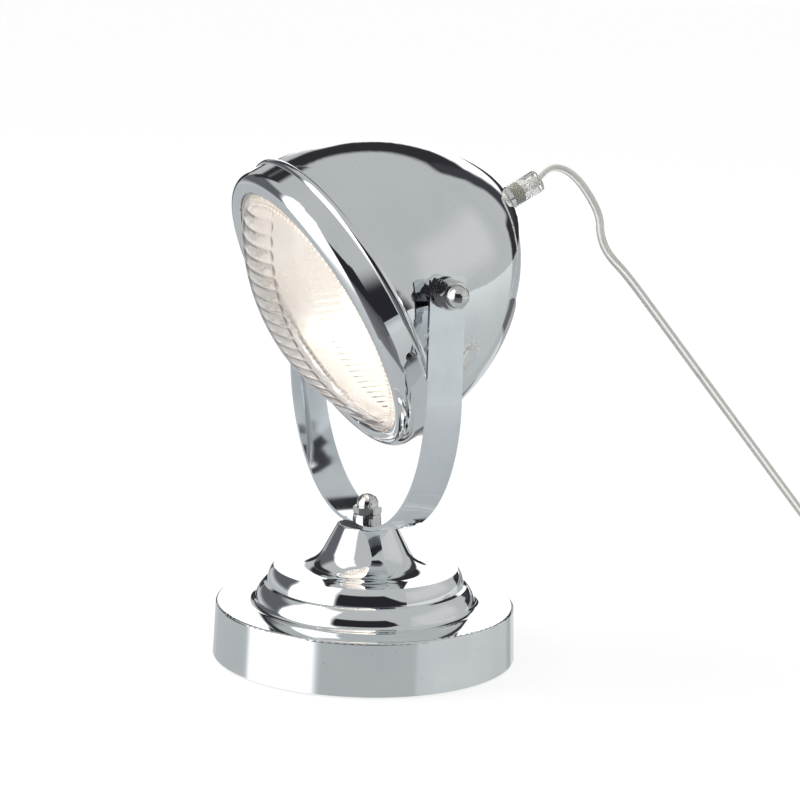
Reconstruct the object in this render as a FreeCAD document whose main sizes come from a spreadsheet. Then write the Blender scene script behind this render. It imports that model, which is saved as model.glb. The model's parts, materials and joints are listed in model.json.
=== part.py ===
import FreeCAD, Part
import Sketcher
import math
import os
from FreeCAD import Placement, Vector

doc = FreeCAD.newDocument("searchlight_lamp")
sheet = doc.addObject("Spreadsheet::Sheet", "Sizes")

# Driving sizes in millimetres and degrees. Each group starts with a line that says what it sizes.
SIZES = [
    # Spun base shell: drum, two stepped bulges, flat ledge and cone neck
    ("rest_gap", 0.6), ("foot_radius", 79.6), ("drum_flare", 1.1), ("drum_height", 28.5),
    ("drum_edge", 1.2), ("shell_wall", 1.2), ("drum_shelf", 17.3), ("skirt_fillet", 3.5),
    ("skirt_lift", 15.0), ("lower_bulge", 14.9), ("lower_bulge_end", 47.8),
    ("step_inset", 9.4), ("step_height", 39.0), ("upper_bulge", 16.0),
    ("upper_bulge_start", 4.3), ("upper_bulge_end", 37.7), ("flare_radius", 16.0),
    ("neck_slant", 27.7), ("neck_radius", 15.2), ("neck_height", 70.5), ("neck_edge", 0.9),
    # Ballast, bottom plate, felt pad and the screws that hold them
    ("weight_gap", 5.3), ("weight_depth", 15.3), ("weight_recess", 13.0),
    ("recess_depth", 7.0), ("boss_radius", 5.0), ("screw_inset", 17.0),
    ("plate_thickness", 1.5), ("plate_gap", 0.5), ("pad_thickness", 2.0), ("felt_inset", 7.6),
    ("plate_screw_radius", 2.0), ("plate_screw_head", 3.5), ("plate_screw_grip", 10.0),
    ("head_gap", 0.2),
    # Threaded rods, nuts and washers
    ("rod_radius", 4.0), ("thread_gap", 0.05), ("running_gap", 0.08), ("nut_width", 13.0),
    ("nut_height", 6.5), ("jam_height", 2.6), ("nut_chamfer", 0.7), ("dome_radius", 5.75),
    ("rod_bevel", 0.5), ("end_gap", 0.3),
    ("cap_height", 10.8), ("cap_base", 4.0), ("cap_depth", 7.5), ("washer_thickness", 1.2),
    ("spring_thickness", 1.6), ("spring_radius", 7.3), ("spring_opening", 14.0),
    ("friction_thickness", 0.5), ("friction_radius", 13.0), ("swivel_washer", 7.6),
    ("pivot_washer", 8.0), ("rod_washer_radius", 10.0), ("rod_spare", 3.0),
    # Bent strip that carries the head
    ("strip_width", 19.0), ("strip_thickness", 2.0), ("head_clearance", 6.0), ("arm_end", 8.4),
    ("strip_flat", 8.0), ("strip_corner", 2.5),
    # Where the head turns, and how it points at rest
    ("pivot_height", 205.4), ("pivot_rise", 5.4), ("tilt_angle", 28.0),
    # Bucket: rim, side arc and rounded nose
    ("bucket_radius", 79.0), ("bucket_front", 22.0), ("bucket_depth", 103.0),
    ("nose_radius", 48.0), ("bucket_wall", 1.0), ("rim_length", 3.5), ("nipple_gap", 0.1),
    # Trim ring
    ("ring_gap", 0.15), ("ring_wall", 0.85), ("ring_back", 20.5), ("bead_width", 4.5),
    ("bead_radius", 2.6), ("lip_start", 33.5), ("lip_radius", 7.0), ("lip_roll", 4.0),
    ("lip_width", 10.5),
    # Lens, gasket and reflector
    ("lens_inset", 6.55), ("lens_edge", 2.5), ("lens_bulge", 23.5), ("lens_glass", 3.0),
    ("lens_gap", 0.3), ("lens_seat", 1.2), ("gasket_thickness", 0.8), ("flange_lap", 0.6),
    ("dish_inset", 1.5), ("dish_depth", 43.0), ("dish_curve", 108.0), ("dish_wall", 0.8),
    ("dish_hole_gap", 0.3),
    # Clips behind the reflector, and the screw that holds the trim ring
    ("clip_sweep", 9.0), ("clip_thickness", 0.8), ("clip_length", 5.0), ("clip_hold", 2.7),
    ("clip_gap", 0.2), ("trim_angle", -11.7), ("trim_forward", 28.0), ("trim_screw_radius", 1.5),
    ("trim_head_radius", 2.5), ("trim_head_height", 1.8), ("trim_screw_length", 5.5),
    ("tab_width", 8.0), ("tab_length", 13.0), ("tab_thickness", 1.2), ("tab_corner", 2.0),
    # Lamp holder and bulb
    ("holder_radius", 12.2), ("holder_length", 33.0), ("holder_floor", 6.0),
    ("holder_front", 1.0), ("flange_step", 3.2), ("flange_thickness", 2.5),
    ("holder_flange", 14.5), ("holder_play", 0.3), ("wire_hole", 3.0), ("collar_radius", 16.0),
    ("cap_radius", 8.0), ("bulb_cap_length", 23.0), ("contact_radius", 3.0), ("cap_taper", 2.7),
    ("bulb_radius", 11.5), ("bulb_neck", 7.4), ("bulb_length", 33.0), ("bulb_glass", 0.8),
    ("filament_radius", 0.4), ("filament_span", 8.0), ("filament_rise", 16.0),
    # Rear nipple, its nuts, and the clear grip on the cord
    ("nipple_radius", 5.0), ("nipple_bore", 3.4), ("nipple_inside", 9.0),
    ("nipple_outside", 10.0), ("lock_radius", 6.3), ("lock_height", 3.6),
    ("inner_nut_width", 16.0), ("inner_nut_height", 3.0), ("inner_washer_radius", 9.0),
    ("inner_washer_thickness", 1.2), ("grip_radius", 6.1), ("grip_length", 18.0),
    ("sleeve_wall", 0.55), ("sleeve_length", 6.5), ("grip_step", 9.0), ("grip_cone", 3.0),
    ("grip_slot", 1.6), ("grip_slot_depth", 6.0), ("lead_gap", 0.15), ("lead_end_gap", 0.1),
    ("lead_start", 10.0), ("lead_inside", 3.0),
    # Spacers between bucket and arms
    ("bush_radius", 8.0), ("bush_inset", 7.0), ("inner_pad_radius", 8.5), ("stud_inside", 1.0),
    # Cord and coil
    ("cord_diameter", 4.6), ("coil_x", 112.0), ("coil_y", 305.0), ("coil_inner", 17.4),
    ("coil_pitch", 5.8), ("coil_lift", 0.7), ("turns_in", 3.5), ("turns_out", 3.25),
    ("tie_width", 4.0), ("tie_thickness", 0.5), ("tie_gap", 0.3),
    # Switch on the cord
    ("switch_x", 78.0), ("switch_y", 370.0), ("switch_length", 60.0), ("switch_width", 24.0),
    ("switch_height", 18.0), ("switch_split", 9.5), ("switch_corner", 7.0),
    ("switch_wall", 1.8), ("entry_height", 5.5), ("entry_gap", 0.1), ("rocker_length", 19.6),
    ("rocker_width", 10.0), ("rocker_rise", 6.0), ("rocker_dip", 1.4), ("rocker_depth", 2.5),
    ("rocker_heel", 4.0), ("rocker_skirt", 2.0), ("rocker_pivot", 13.2), ("rocker_tilt", 8.0),
    ("window_end_gap", 1.1), ("window_side_gap", 0.4), ("ear_thickness", 1.8),
    ("ear_length", 8.0), ("ear_drop", 6.0), ("pin_radius", 1.0),
    ("screw_boss", 3.0), ("screw_along", 21.0), ("screw_across", 6.8),
    ("switch_screw_radius", 1.25), ("switch_screw_head", 2.3), ("switch_head_height", 1.2),
    ("terminal_length", 8.0), ("terminal_width", 6.0), ("terminal_height", 6.0),
    ("terminal_along", 11.0), ("leaf_thickness", 0.6), ("leaf_width", 4.0), ("leaf_overlap", 2.0),
    ("boss_sink", 0.9),
    # Plug and its sleeve
    ("plug_length", 36.0), ("plug_width", 35.0), ("plug_waist", 16.0), ("plug_edge", 2.0),
    ("pin_length", 19.0), ("plug_pin_radius", 2.0), ("pin_spacing", 19.0), ("pin_root", 5.0),
    ("pin_bevel", 1.0),
    ("relief_length", 22.0), ("relief_wide", 5.2), ("relief_narrow", 3.2),
    ("coil_tail", 6.0),
    # How far a cutting form runs past what it cuts
    ("cut_margin", 1.0),
]

for row, (alias, number) in enumerate(SIZES, start=1):
    sheet.set("A%d" % row, alias)
    sheet.set("B%d" % row, repr(number))
    sheet.setAlias("B%d" % row, alias)
doc.recompute()


class Length:
    """A size, with the sheet formula that gives it."""

    def __init__(self, text, value):
        self.text = text
        self.value = value

    def __add__(self, other):
        other = length(other)
        return Length("(%s + %s)" % (self.text, other.text), self.value + other.value)

    def __sub__(self, other):
        other = length(other)
        return Length("(%s - %s)" % (self.text, other.text), self.value - other.value)

    def __mul__(self, other):
        other = length(other)
        return Length("(%s * %s)" % (self.text, other.text), self.value * other.value)

    def __truediv__(self, other):
        other = length(other)
        return Length("(%s / %s)" % (self.text, other.text), self.value / other.value)

    def __neg__(self):
        return length(0) - self

    def __radd__(self, other):
        return length(other) + self

    def __rsub__(self, other):
        return length(other) - self

    def __rmul__(self, other):
        return length(other) * self


def length(item):
    if isinstance(item, Length):
        return item
    return Length("(%.9f)" % item, float(item))


def sine(angle):
    angle = length(angle)
    return Length("sin(%s)" % angle.text, math.sin(math.radians(angle.value)))


def cosine(angle):
    angle = length(angle)
    return Length("cos(%s)" % angle.text, math.cos(math.radians(angle.value)))


def tangent(angle):
    return sine(angle) / cosine(angle)


def root(item):
    return Length("sqrt(%s)" % item.text, math.sqrt(item.value))


def around(centre, radius, angle):
    """The point at an angle on a circle."""
    return (centre[0] + radius * cosine(angle), centre[1] + radius * sine(angle))


class SheetSizes:
    """The sheet's cells by name."""

    def __getattr__(self, alias):
        return Length("Sizes." + alias, float(sheet.get(alias)))


S = SheetSizes()

# The arms stand clear of the bucket, and end above the line on which the head turns.
ARM_REACH = S.bucket_radius + S.head_clearance + S.strip_thickness
ARM_TOP = S.pivot_height + S.arm_end
STRIP_BEND = ARM_REACH - S.strip_flat
PAD_REACH = S.bucket_radius - S.bush_inset

# The base steps in from its foot, and the ballast and the felt pad lie inside it.
DRUM_RADIUS = S.foot_radius - S.drum_flare
SKIRT_RADIUS = DRUM_RADIUS - S.drum_shelf
STEP_RADIUS = SKIRT_RADIUS - S.step_inset
WEIGHT_RADIUS = DRUM_RADIUS - S.shell_wall - S.weight_gap
SCREW_CIRCLE = WEIGHT_RADIUS - S.screw_inset
FELT_RADIUS = S.foot_radius - S.felt_inset

# The trim ring slides over the bucket, and what it holds lies inside it.
RING_RADIUS = S.bucket_radius + S.ring_gap + S.ring_wall
WINDOW_RADIUS = RING_RADIUS - S.lip_width
LENS_RADIUS = RING_RADIUS - S.ring_wall - S.lens_inset
FLANGE_RADIUS = LENS_RADIUS + S.flange_lap
CLIP_INNER = FLANGE_RADIUS - S.clip_hold
DISH_RADIUS = WINDOW_RADIUS - S.dish_inset
DISH_HOLE = S.holder_radius + S.dish_hole_gap
HOLDER_BORE = S.cap_radius + S.holder_play

TINY = 1e-6
LEFT = 1
RIGHT = -1
FLAT_TURN = "rotation(vector(0; 0; 1); 0)"
X_TURN = "rotation(vector(0; 1; 0); 90)"
Y_TURN = "rotation(vector(1; 0; 0); -90)"
HEAD_TURN = "rotation(vector(1; 0; 0); 90 + Sizes.tilt_angle)"
PIVOT_TURN = "rotation(vector(1; 0; 0); Sizes.tilt_angle) * " + X_TURN


def plane_of(body, role):
    return [item for item in body.Origin.OriginFeatures if item.Role == role][0]


def arc_between(start, end, radius, side):
    """An arc of less than half a turn, with its centre left or right of the way from start to end."""
    chord = end - start
    middle = (start + end) * 0.5
    reach = math.sqrt(max(radius ** 2 - (chord.Length / 2) ** 2, 0.0))
    left = Vector(-chord.y, chord.x, 0).normalize()
    centre = middle + left * (reach * side)
    first, last = (start, end) if side == LEFT else (end, start)
    angles = [math.atan2(point.y - centre.y, point.x - centre.x) for point in (first, last)]
    if angles[1] < angles[0]:
        angles[1] += 2 * math.pi
    return Part.ArcOfCircle(Part.Circle(centre, Vector(0, 0, 1), radius), *angles)


def pin_point(sketch, edge, end, kind, coordinate):
    """Holds one coordinate of a point to a formula of the sheet."""
    if abs(coordinate.value) < TINY:
        axis = -2 if kind == "DistanceX" else -1
        sketch.addConstraint(Sketcher.Constraint("PointOnObject", edge, end, axis))
        return
    index = sketch.addConstraint(Sketcher.Constraint(kind, -1, 1, edge, end, coordinate.value))
    sketch.setExpression("Constraints[%d]" % index, coordinate.text)


def draw_loop(sketch, corners):
    """A closed outline. A corner is (across, along), and two more values bend the edge after it."""
    first = sketch.GeometryCount
    corners = [tuple(corner) for corner in corners]
    points = [Vector(length(c[0]).value, length(c[1]).value, 0) for c in corners]
    ends = []
    for index, corner in enumerate(corners):
        start, end = points[index], points[(index + 1) % len(points)]
        if len(corner) == 2:
            sketch.addGeometry(Part.LineSegment(start, end), False)
            ends.append((1, 2))
        else:
            sketch.addGeometry(arc_between(start, end, corner[2].value, corner[3]), False)
            ends.append((1, 2) if corner[3] == LEFT else (2, 1))
    for index, corner in enumerate(corners):
        after = (index + 1) % len(corners)
        sketch.addConstraint(Sketcher.Constraint(
            "Coincident", first + index, ends[index][1], first + after, ends[after][0]))
    for index, corner in enumerate(corners):
        pin_point(sketch, first + index, ends[index][0], "DistanceX", length(corner[0]))
        pin_point(sketch, first + index, ends[index][0], "DistanceY", length(corner[1]))
        if len(corner) == 4:
            bend = sketch.addConstraint(
                Sketcher.Constraint("Radius", first + index, corner[2].value))
            sketch.setExpression("Constraints[%d]" % bend, corner[2].text)


def draw_circle(sketch, across, along, radius):
    across, along, radius = length(across), length(along), length(radius)
    centre = Vector(across.value, along.value, 0)
    edge = sketch.addGeometry(Part.Circle(centre, Vector(0, 0, 1), radius.value), False)
    pin_point(sketch, edge, 3, "DistanceX", across)
    pin_point(sketch, edge, 3, "DistanceY", along)
    index = sketch.addConstraint(Sketcher.Constraint("Radius", edge, radius.value))
    sketch.setExpression("Constraints[%d]" % index, radius.text)


def sketch_in(body, name, role, loops=(), circles=()):
    sketch = body.newObject("Sketcher::SketchObject", name)
    sketch.AttachmentSupport = [(plane_of(body, role), "")]
    sketch.MapMode = "FlatFace"
    for corners in loops:
        draw_loop(sketch, corners)
    for circle in circles:
        draw_circle(sketch, *circle)
    return sketch


def spin(body, kind, sketch, angle=360.0):
    feature = body.newObject("PartDesign::" + kind, sketch.Name + "_" + kind.lower())
    feature.Profile = sketch
    feature.ReferenceAxis = (sketch, ["V_Axis"])
    feature.Angle = angle
    return feature


def turned(name, corners, angle=360.0):
    """A piece turned about its own Z axis from an outline of radius and height."""
    body = doc.addObject("PartDesign::Body", name)
    spin(body, "Revolution", sketch_in(body, name + "_outline", "XZ_Plane", [corners]), angle)
    return body


def padded(name, thickness, loops=(), circles=(), role="XY_Plane"):
    """A flat outline with a thickness."""
    body = doc.addObject("PartDesign::Body", name)
    pad = body.newObject("PartDesign::Pad", name + "_pad")
    pad.Profile = sketch_in(body, name + "_outline", role, loops, circles)
    pad.setExpression("Length", length(thickness).text)
    return body


def put(piece, x=0, y=0, z=0, turn=FLAT_TURN):
    place = "; ".join(length(item).text for item in (x, y, z))
    piece.setExpression("Placement", "placement(vector(%s); %s)" % (place, turn))
    return piece


def head_point(across, up, forward):
    """A point of the head, from its own axis, in the lamp's frame."""
    lift = up - S.pivot_rise
    sink = sine(S.tilt_angle)
    level = cosine(S.tilt_angle)
    return (length(across), -(lift * sink) - forward * level,
            S.pivot_height + lift * level - forward * sink)


def on_head(piece, forward=0, turn=HEAD_TURN):
    return put(piece, *head_point(0, length(0), length(forward)), turn=turn)


def on_pivot(piece, reach):
    return put(piece, reach, 0, S.pivot_height, PIVOT_TURN)


def post(name, radius, height):
    piece = doc.addObject("Part::Cylinder", name)
    piece.setExpression("Radius", length(radius).text)
    piece.setExpression("Height", length(height).text)
    return piece


def block(name, long, wide, high):
    piece = doc.addObject("Part::Box", name)
    for side, size in (("Length", long), ("Width", wide), ("Height", high)):
        piece.setExpression(side, length(size).text)
    return piece


def fused(name, pieces):
    piece = doc.addObject("Part::MultiFuse", name)
    piece.Shapes = pieces
    return piece


def cut(name, base, tools):
    piece = doc.addObject("Part::Cut", name)
    piece.Base = base
    piece.Tool = tools[0] if len(tools) == 1 else fused(name + "_tools", tools)
    return piece


def common(name, base, tool):
    piece = doc.addObject("Part::Common", name)
    piece.Base = base
    piece.Tool = tool
    return piece


def grouped(name, pieces):
    piece = doc.addObject("Part::Compound", name)
    piece.Links = pieces
    return piece


def both_sides(name, piece):
    """The piece with its mirror image on the other arm."""
    mirror = doc.addObject("Part::Mirroring", name + "_other")
    mirror.Source = piece
    mirror.Normal = Vector(1, 0, 0)
    return grouped(name, [piece, mirror])


SUB_PARTS = []


def keep(piece, name):
    piece.Label = name
    SUB_PARTS.append(piece)
    return piece


def ring(inner, outer, height):
    """Outline of a flat ring that stands on its own origin."""
    return [(inner, 0), (outer, 0), (outer, height), (inner, height)]


def hexagon(width):
    corner = width / math.sqrt(3)
    return [(corner * cosine(60 * k), corner * sine(60 * k)) for k in range(6)]


def chamfer_cut(body, name, width, low, high):
    """Takes the six corners off a hexagon, at the foot and at the top."""
    tip = width / math.sqrt(3) + S.nut_chamfer
    start = width / 2
    drop = (tip - start) * tangent(30)
    wedges = [
        [(start, low), (tip, low), (tip, low + drop)],
        [(start, high), (tip, high - drop), (tip, high)],
    ]
    for index, wedge in enumerate(wedges):
        spin(body, "Groove", sketch_in(body, "%s_wedge%d" % (name, index), "XZ_Plane", [wedge]))


def hex_nut(name, width, height, bore):
    body = padded(name, height, [hexagon(width)], [(0, 0, bore)])
    chamfer_cut(body, name, width, length(0), height)
    return body


def cap_nut(name):
    """A domed nut: hexagon, straight collar, round dome and blind bore."""
    body = padded(name, S.cap_base, [hexagon(S.nut_width)])
    shoulder = S.cap_height - S.dome_radius
    dome = [(0, 0), (S.dome_radius, 0), (S.dome_radius, shoulder, S.dome_radius, LEFT),
            (0, S.cap_height)]
    spin(body, "Revolution", sketch_in(body, name + "_dome", "XZ_Plane", [dome]))
    chamfer_cut(body, name, S.nut_width, length(0), S.cap_base)
    bore = [(0, 0), (S.rod_radius + S.thread_gap, 0), (S.rod_radius + S.thread_gap, S.cap_depth),
            (0, S.cap_depth)]
    spin(body, "Groove", sketch_in(body, name + "_bore", "XZ_Plane", [bore]))
    return body


def spring_washer(name):
    outline = ring(S.rod_radius + S.thread_gap, S.spring_radius, S.spring_thickness)
    body = turned(name, outline)
    body.Tip.setExpression("Angle", (360 - S.spring_opening).text)
    return body


def rounded(half_long, half_wide, corner):
    """A rectangle with round corners."""
    x, y, c = length(half_long), length(half_wide), length(corner)
    return [(x, -y + c), (x, y - c, c, LEFT), (x - c, y), (-x + c, y, c, LEFT), (-x, y - c),
            (-x, -y + c, c, LEFT), (-x + c, -y), (x - c, -y, c, LEFT)]


# The base shell is spun from one disc: a slightly flared drum, a fillet, a bulge, a small
# step, a second bulge, a flat ledge, and a flare that runs into the cone neck.
def base_shell():
    wall = S.shell_wall
    fillet_centre = (SKIRT_RADIUS, S.drum_height + S.skirt_fillet)
    fillet_end = around(fillet_centre, S.skirt_fillet, 180 + S.skirt_lift)
    lower_centre = around(fillet_end, -S.lower_bulge, S.skirt_lift)
    rim = around(lower_centre, S.lower_bulge, S.lower_bulge_end)
    upper_centre = around((STEP_RADIUS, S.step_height), -S.upper_bulge, S.upper_bulge_start)
    ledge = around(upper_centre, S.upper_bulge, S.upper_bulge_end)
    slope = tangent(S.neck_slant)
    flare_top = ledge[1] + S.flare_radius - S.flare_radius * sine(S.neck_slant)
    flare_axis = (S.flare_radius * cosine(S.neck_slant) + S.neck_radius
                  + slope * (S.neck_height - flare_top))
    flare_centre = (flare_axis, ledge[1] + S.flare_radius)
    flare_end = around(flare_centre, S.flare_radius, 180 + S.neck_slant)
    edge_drop = S.neck_edge * cosine(S.neck_slant)
    inner_top = S.neck_radius + slope * wall - wall / cosine(S.neck_slant)
    hole = S.rod_radius + S.thread_gap
    inner_fillet = S.skirt_fillet + wall
    inner_flare = S.flare_radius + wall
    return turned("base_shell", [
        (S.foot_radius, S.rest_gap),
        (DRUM_RADIUS, S.drum_height - S.drum_edge, S.drum_edge, LEFT),
        (DRUM_RADIUS - S.drum_edge, S.drum_height),
        (SKIRT_RADIUS, S.drum_height, S.skirt_fillet, RIGHT),
        (*fillet_end, S.lower_bulge, LEFT),
        rim,
        (STEP_RADIUS, S.step_height, S.upper_bulge, LEFT),
        ledge,
        (flare_axis, ledge[1], S.flare_radius, RIGHT),
        flare_end,
        (S.neck_radius + S.neck_edge * sine(S.neck_slant), S.neck_height - edge_drop,
         S.neck_edge * tangent(45 + S.neck_slant / 2), LEFT),
        (S.neck_radius - S.neck_edge, S.neck_height),
        (hole, S.neck_height),
        (hole, S.neck_height - wall),
        (inner_top, S.neck_height - wall),
        (*around(flare_centre, inner_flare, 180 + S.neck_slant), inner_flare, LEFT),
        (flare_axis, ledge[1] - wall),
        (ledge[0] - wall, ledge[1] - wall),
        (STEP_RADIUS - wall, S.step_height - wall / 2),
        (rim[0] - wall, rim[1] - wall),
        (*around(fillet_centre, inner_fillet, 180 + S.skirt_lift), inner_fillet, LEFT),
        (SKIRT_RADIUS, S.drum_height - wall),
        (DRUM_RADIUS - wall, S.drum_height - wall),
        (S.foot_radius - wall, S.rest_gap),
    ])


WEIGHT_TOP = S.drum_height - S.shell_wall
WEIGHT_BOTTOM = WEIGHT_TOP - S.weight_depth
PLATE_TOP = S.pad_thickness + S.plate_thickness
SCREW_ANGLES = (90, 210, 330)


def screw_places():
    return [around((length(0), length(0)), SCREW_CIRCLE, angle) for angle in SCREW_ANGLES]


def base_weight():
    """Cast ballast with a recess for the lower nut and three bosses for the plate."""
    bore = S.rod_radius + S.thread_gap
    disc = turned("weight_disc", [
        (bore, S.recess_depth), (S.weight_recess, S.recess_depth), (S.weight_recess, 0),
        (WEIGHT_RADIUS, 0), (WEIGHT_RADIUS, S.weight_depth), (bore, S.weight_depth)])
    pieces = [put(disc, z=WEIGHT_BOTTOM)]
    holes = []
    for index, (x, y) in enumerate(screw_places()):
        height = WEIGHT_BOTTOM - PLATE_TOP + S.cut_margin
        boss = post("weight_boss%d" % index, S.boss_radius, height)
        pieces.append(put(boss, x, y, PLATE_TOP))
        bore_radius = S.plate_screw_radius + S.thread_gap
        hole = post("weight_hole%d" % index, bore_radius, S.plate_screw_grip + S.head_gap)
        holes.append(put(hole, x, y, PLATE_TOP))
    return cut("base_weight", fused("weight_casting", pieces), holes)


def bottom_plate():
    holes = [(x, y, S.plate_screw_radius + S.running_gap) for x, y in screw_places()]
    radius = S.foot_radius - S.shell_wall - S.plate_gap
    disc = padded("bottom_plate", S.plate_thickness, circles=[(0, 0, radius)] + holes)
    return put(disc, z=S.pad_thickness)


def base_pad():
    holes = [(x, y, S.plate_screw_head + S.head_gap) for x, y in screw_places()]
    return padded("base_pad", S.pad_thickness, circles=[(0, 0, FELT_RADIUS)] + holes)


def plate_screws():
    low = S.head_gap - S.pad_thickness
    top = S.plate_thickness + S.plate_screw_grip
    outline = [(0, low), (S.plate_screw_head, low), (S.plate_screw_head, 0),
               (S.plate_screw_radius, 0), (S.plate_screw_radius, top), (0, top)]
    screws = [put(turned("plate_screw%d" % index, outline), x, y, S.pad_thickness)
              for index, (x, y) in enumerate(screw_places())]
    return grouped("plate_screws", screws)


WASHER_SEAT = WEIGHT_BOTTOM + S.recess_depth
STRIP_BOTTOM = S.neck_height + S.friction_thickness
STRIP_TOP = STRIP_BOTTOM + S.strip_thickness
SPRING_SEAT = STRIP_TOP + S.washer_thickness
CAP_SEAT = SPRING_SEAT + S.spring_thickness


def rod_outline(low, high):
    """A threaded rod with its two ends bevelled."""
    bevel = S.rod_bevel
    return [(0, low), (S.rod_radius - bevel, low), (S.rod_radius, low + bevel),
            (S.rod_radius, high - bevel), (S.rod_radius - bevel, high), (0, high)]


def base_fasteners():
    """The rod through neck and ballast, and what is threaded on it."""
    low = WASHER_SEAT - S.washer_thickness - S.nut_height
    high = CAP_SEAT + S.cap_depth
    bore = S.rod_radius + S.thread_gap
    keep(turned("tie_rod", rod_outline(low - S.rod_spare, high - S.end_gap)), "tie_rod")
    nut = hex_nut("rod_nut", S.nut_width, S.nut_height, bore)
    keep(put(nut, z=low), "rod_nut")
    washer = turned("rod_washer", ring(bore, S.rod_washer_radius, S.washer_thickness))
    keep(put(washer, z=low + S.nut_height), "rod_washer")
    friction = ring(bore, S.friction_radius, S.friction_thickness)
    piece = turned("swivel_friction_washer", friction)
    keep(put(piece, z=S.neck_height), "swivel_friction_washer")
    piece = turned("swivel_flat_washer", ring(bore, S.swivel_washer, S.washer_thickness))
    keep(put(piece, z=STRIP_TOP), "swivel_flat_washer")
    keep(put(spring_washer("swivel_spring_washer"), z=SPRING_SEAT), "swivel_spring_washer")
    keep(put(cap_nut("swivel_cap_nut"), z=CAP_SEAT), "swivel_cap_nut")


def yoke_bracket():
    """Flat strip bent into a U: two straight arms, two wide bends and a short flat foot."""
    centre = STRIP_BOTTOM + STRIP_BEND
    outer, inner = ARM_REACH, ARM_REACH - S.strip_thickness
    inner_bend = STRIP_BEND - S.strip_thickness
    foot = S.strip_flat
    profile = [
        (-outer, centre, STRIP_BEND, LEFT), (-foot, STRIP_BOTTOM),
        (foot, STRIP_BOTTOM, STRIP_BEND, LEFT), (outer, centre), (outer, ARM_TOP),
        (inner, ARM_TOP), (inner, centre, inner_bend, RIGHT), (foot, STRIP_TOP),
        (-foot, STRIP_TOP, inner_bend, RIGHT), (-inner, centre), (-inner, ARM_TOP),
        (-outer, ARM_TOP)]
    strip = padded("yoke_strip", S.strip_width, [profile], role="XZ_Plane")
    put(strip, y=S.strip_width / 2)
    doc.recompute()
    pad = strip.Tip
    corners = []
    for number, edge in enumerate(pad.Shape.Edges, start=1):
        ends = [vertex.Point.z for vertex in edge.Vertexes]
        same_depth = abs(edge.Vertexes[0].Y - edge.Vertexes[-1].Y) < TINY
        if min(ends) > ARM_TOP.value - TINY and same_depth:
            corners.append("Edge%d" % number)
    fillet = strip.newObject("PartDesign::Fillet", "yoke_corners")
    fillet.Base = (pad, corners)
    fillet.setExpression("Radius", S.strip_corner.text)
    bore = S.rod_radius + S.running_gap
    reach = outer + S.cut_margin
    across = put(post("arm_bore", bore, 2 * reach), -reach, 0, S.pivot_height, X_TURN)
    upright = post("foot_bore", bore, S.strip_thickness + 2 * S.cut_margin)
    put(upright, z=STRIP_BOTTOM - S.cut_margin)
    return cut("yoke_bracket", strip, [across, upright])


# The bucket's outline is a side arc that leaves the rim square to it, and a nose arc of its
# own radius that meets the side arc without a kink.
NOSE_BACK = S.bucket_depth - S.nose_radius
NOSE_SIDE = S.bucket_radius - S.nose_radius
SIDE_OFFSET = (NOSE_BACK * NOSE_BACK - NOSE_SIDE * NOSE_SIDE) / (2 * NOSE_SIDE)
SIDE_RADIUS = S.bucket_radius + SIDE_OFFSET
NOSE_REACH = root(NOSE_BACK * NOSE_BACK + SIDE_OFFSET * SIDE_OFFSET)
NOSE_CENTRE = S.bucket_front - NOSE_BACK


def bucket_meeting(inset):
    """Where the side arc meets the nose arc, on a surface that lies inset from the outside."""
    scale = (SIDE_RADIUS - inset) / NOSE_REACH
    return (SIDE_OFFSET * scale - SIDE_OFFSET, S.bucket_front - NOSE_BACK * scale)


def nose_height(radius, inset):
    """How far forward the nose lies at a radius from the axis. It is behind the pivot."""
    curve = S.nose_radius - inset
    return NOSE_CENTRE - root(curve * curve - radius * radius)


def bucket_solid(name, inset):
    """The bucket's outside or inside as a closed form, up to its front edge."""
    pole = (length(0), NOSE_CENTRE - (S.nose_radius - inset))
    front = S.bucket_front + S.rim_length
    side = S.bucket_radius - inset
    body = turned(name, [
        (*pole, S.nose_radius - inset, LEFT),
        (*bucket_meeting(inset), SIDE_RADIUS - inset, LEFT),
        (side, S.bucket_front), (side, front), (0, front)])
    return on_head(body)


def headlight_bucket():
    wall = S.bucket_wall
    hole = S.nipple_radius + S.nipple_gap
    front = S.bucket_front + S.rim_length
    inner = S.bucket_radius - wall
    shell = turned("bucket_shell", [
        (hole, nose_height(hole, 0), S.nose_radius, LEFT),
        (*bucket_meeting(length(0)), SIDE_RADIUS, LEFT),
        (S.bucket_radius, S.bucket_front),
        (S.bucket_radius, front),
        (inner, front),
        (inner, S.bucket_front, SIDE_RADIUS - wall, RIGHT),
        (*bucket_meeting(wall), S.nose_radius - wall, RIGHT),
        (hole, nose_height(hole, wall)),
    ])
    on_head(shell)
    reach = S.bucket_radius + S.cut_margin
    bore = post("bucket_bore", S.rod_radius + S.thread_gap, 2 * reach)
    return cut("headlight_bucket", shell, [put(bore, -reach, 0, S.pivot_height, X_TURN)])


def radial_turn(angle_text):
    """Turns a piece's own axis out of the head's axis, at an angle round it."""
    return "%s * rotation(vector(0; 0; 1); %s) * %s" % (HEAD_TURN, angle_text, X_TURN)


def radial_place(piece, radius, forward, angle):
    place = head_point(radius * cosine(angle), radius * sine(angle), length(forward))
    return put(piece, *place, turn=radial_turn(angle.text))


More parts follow.
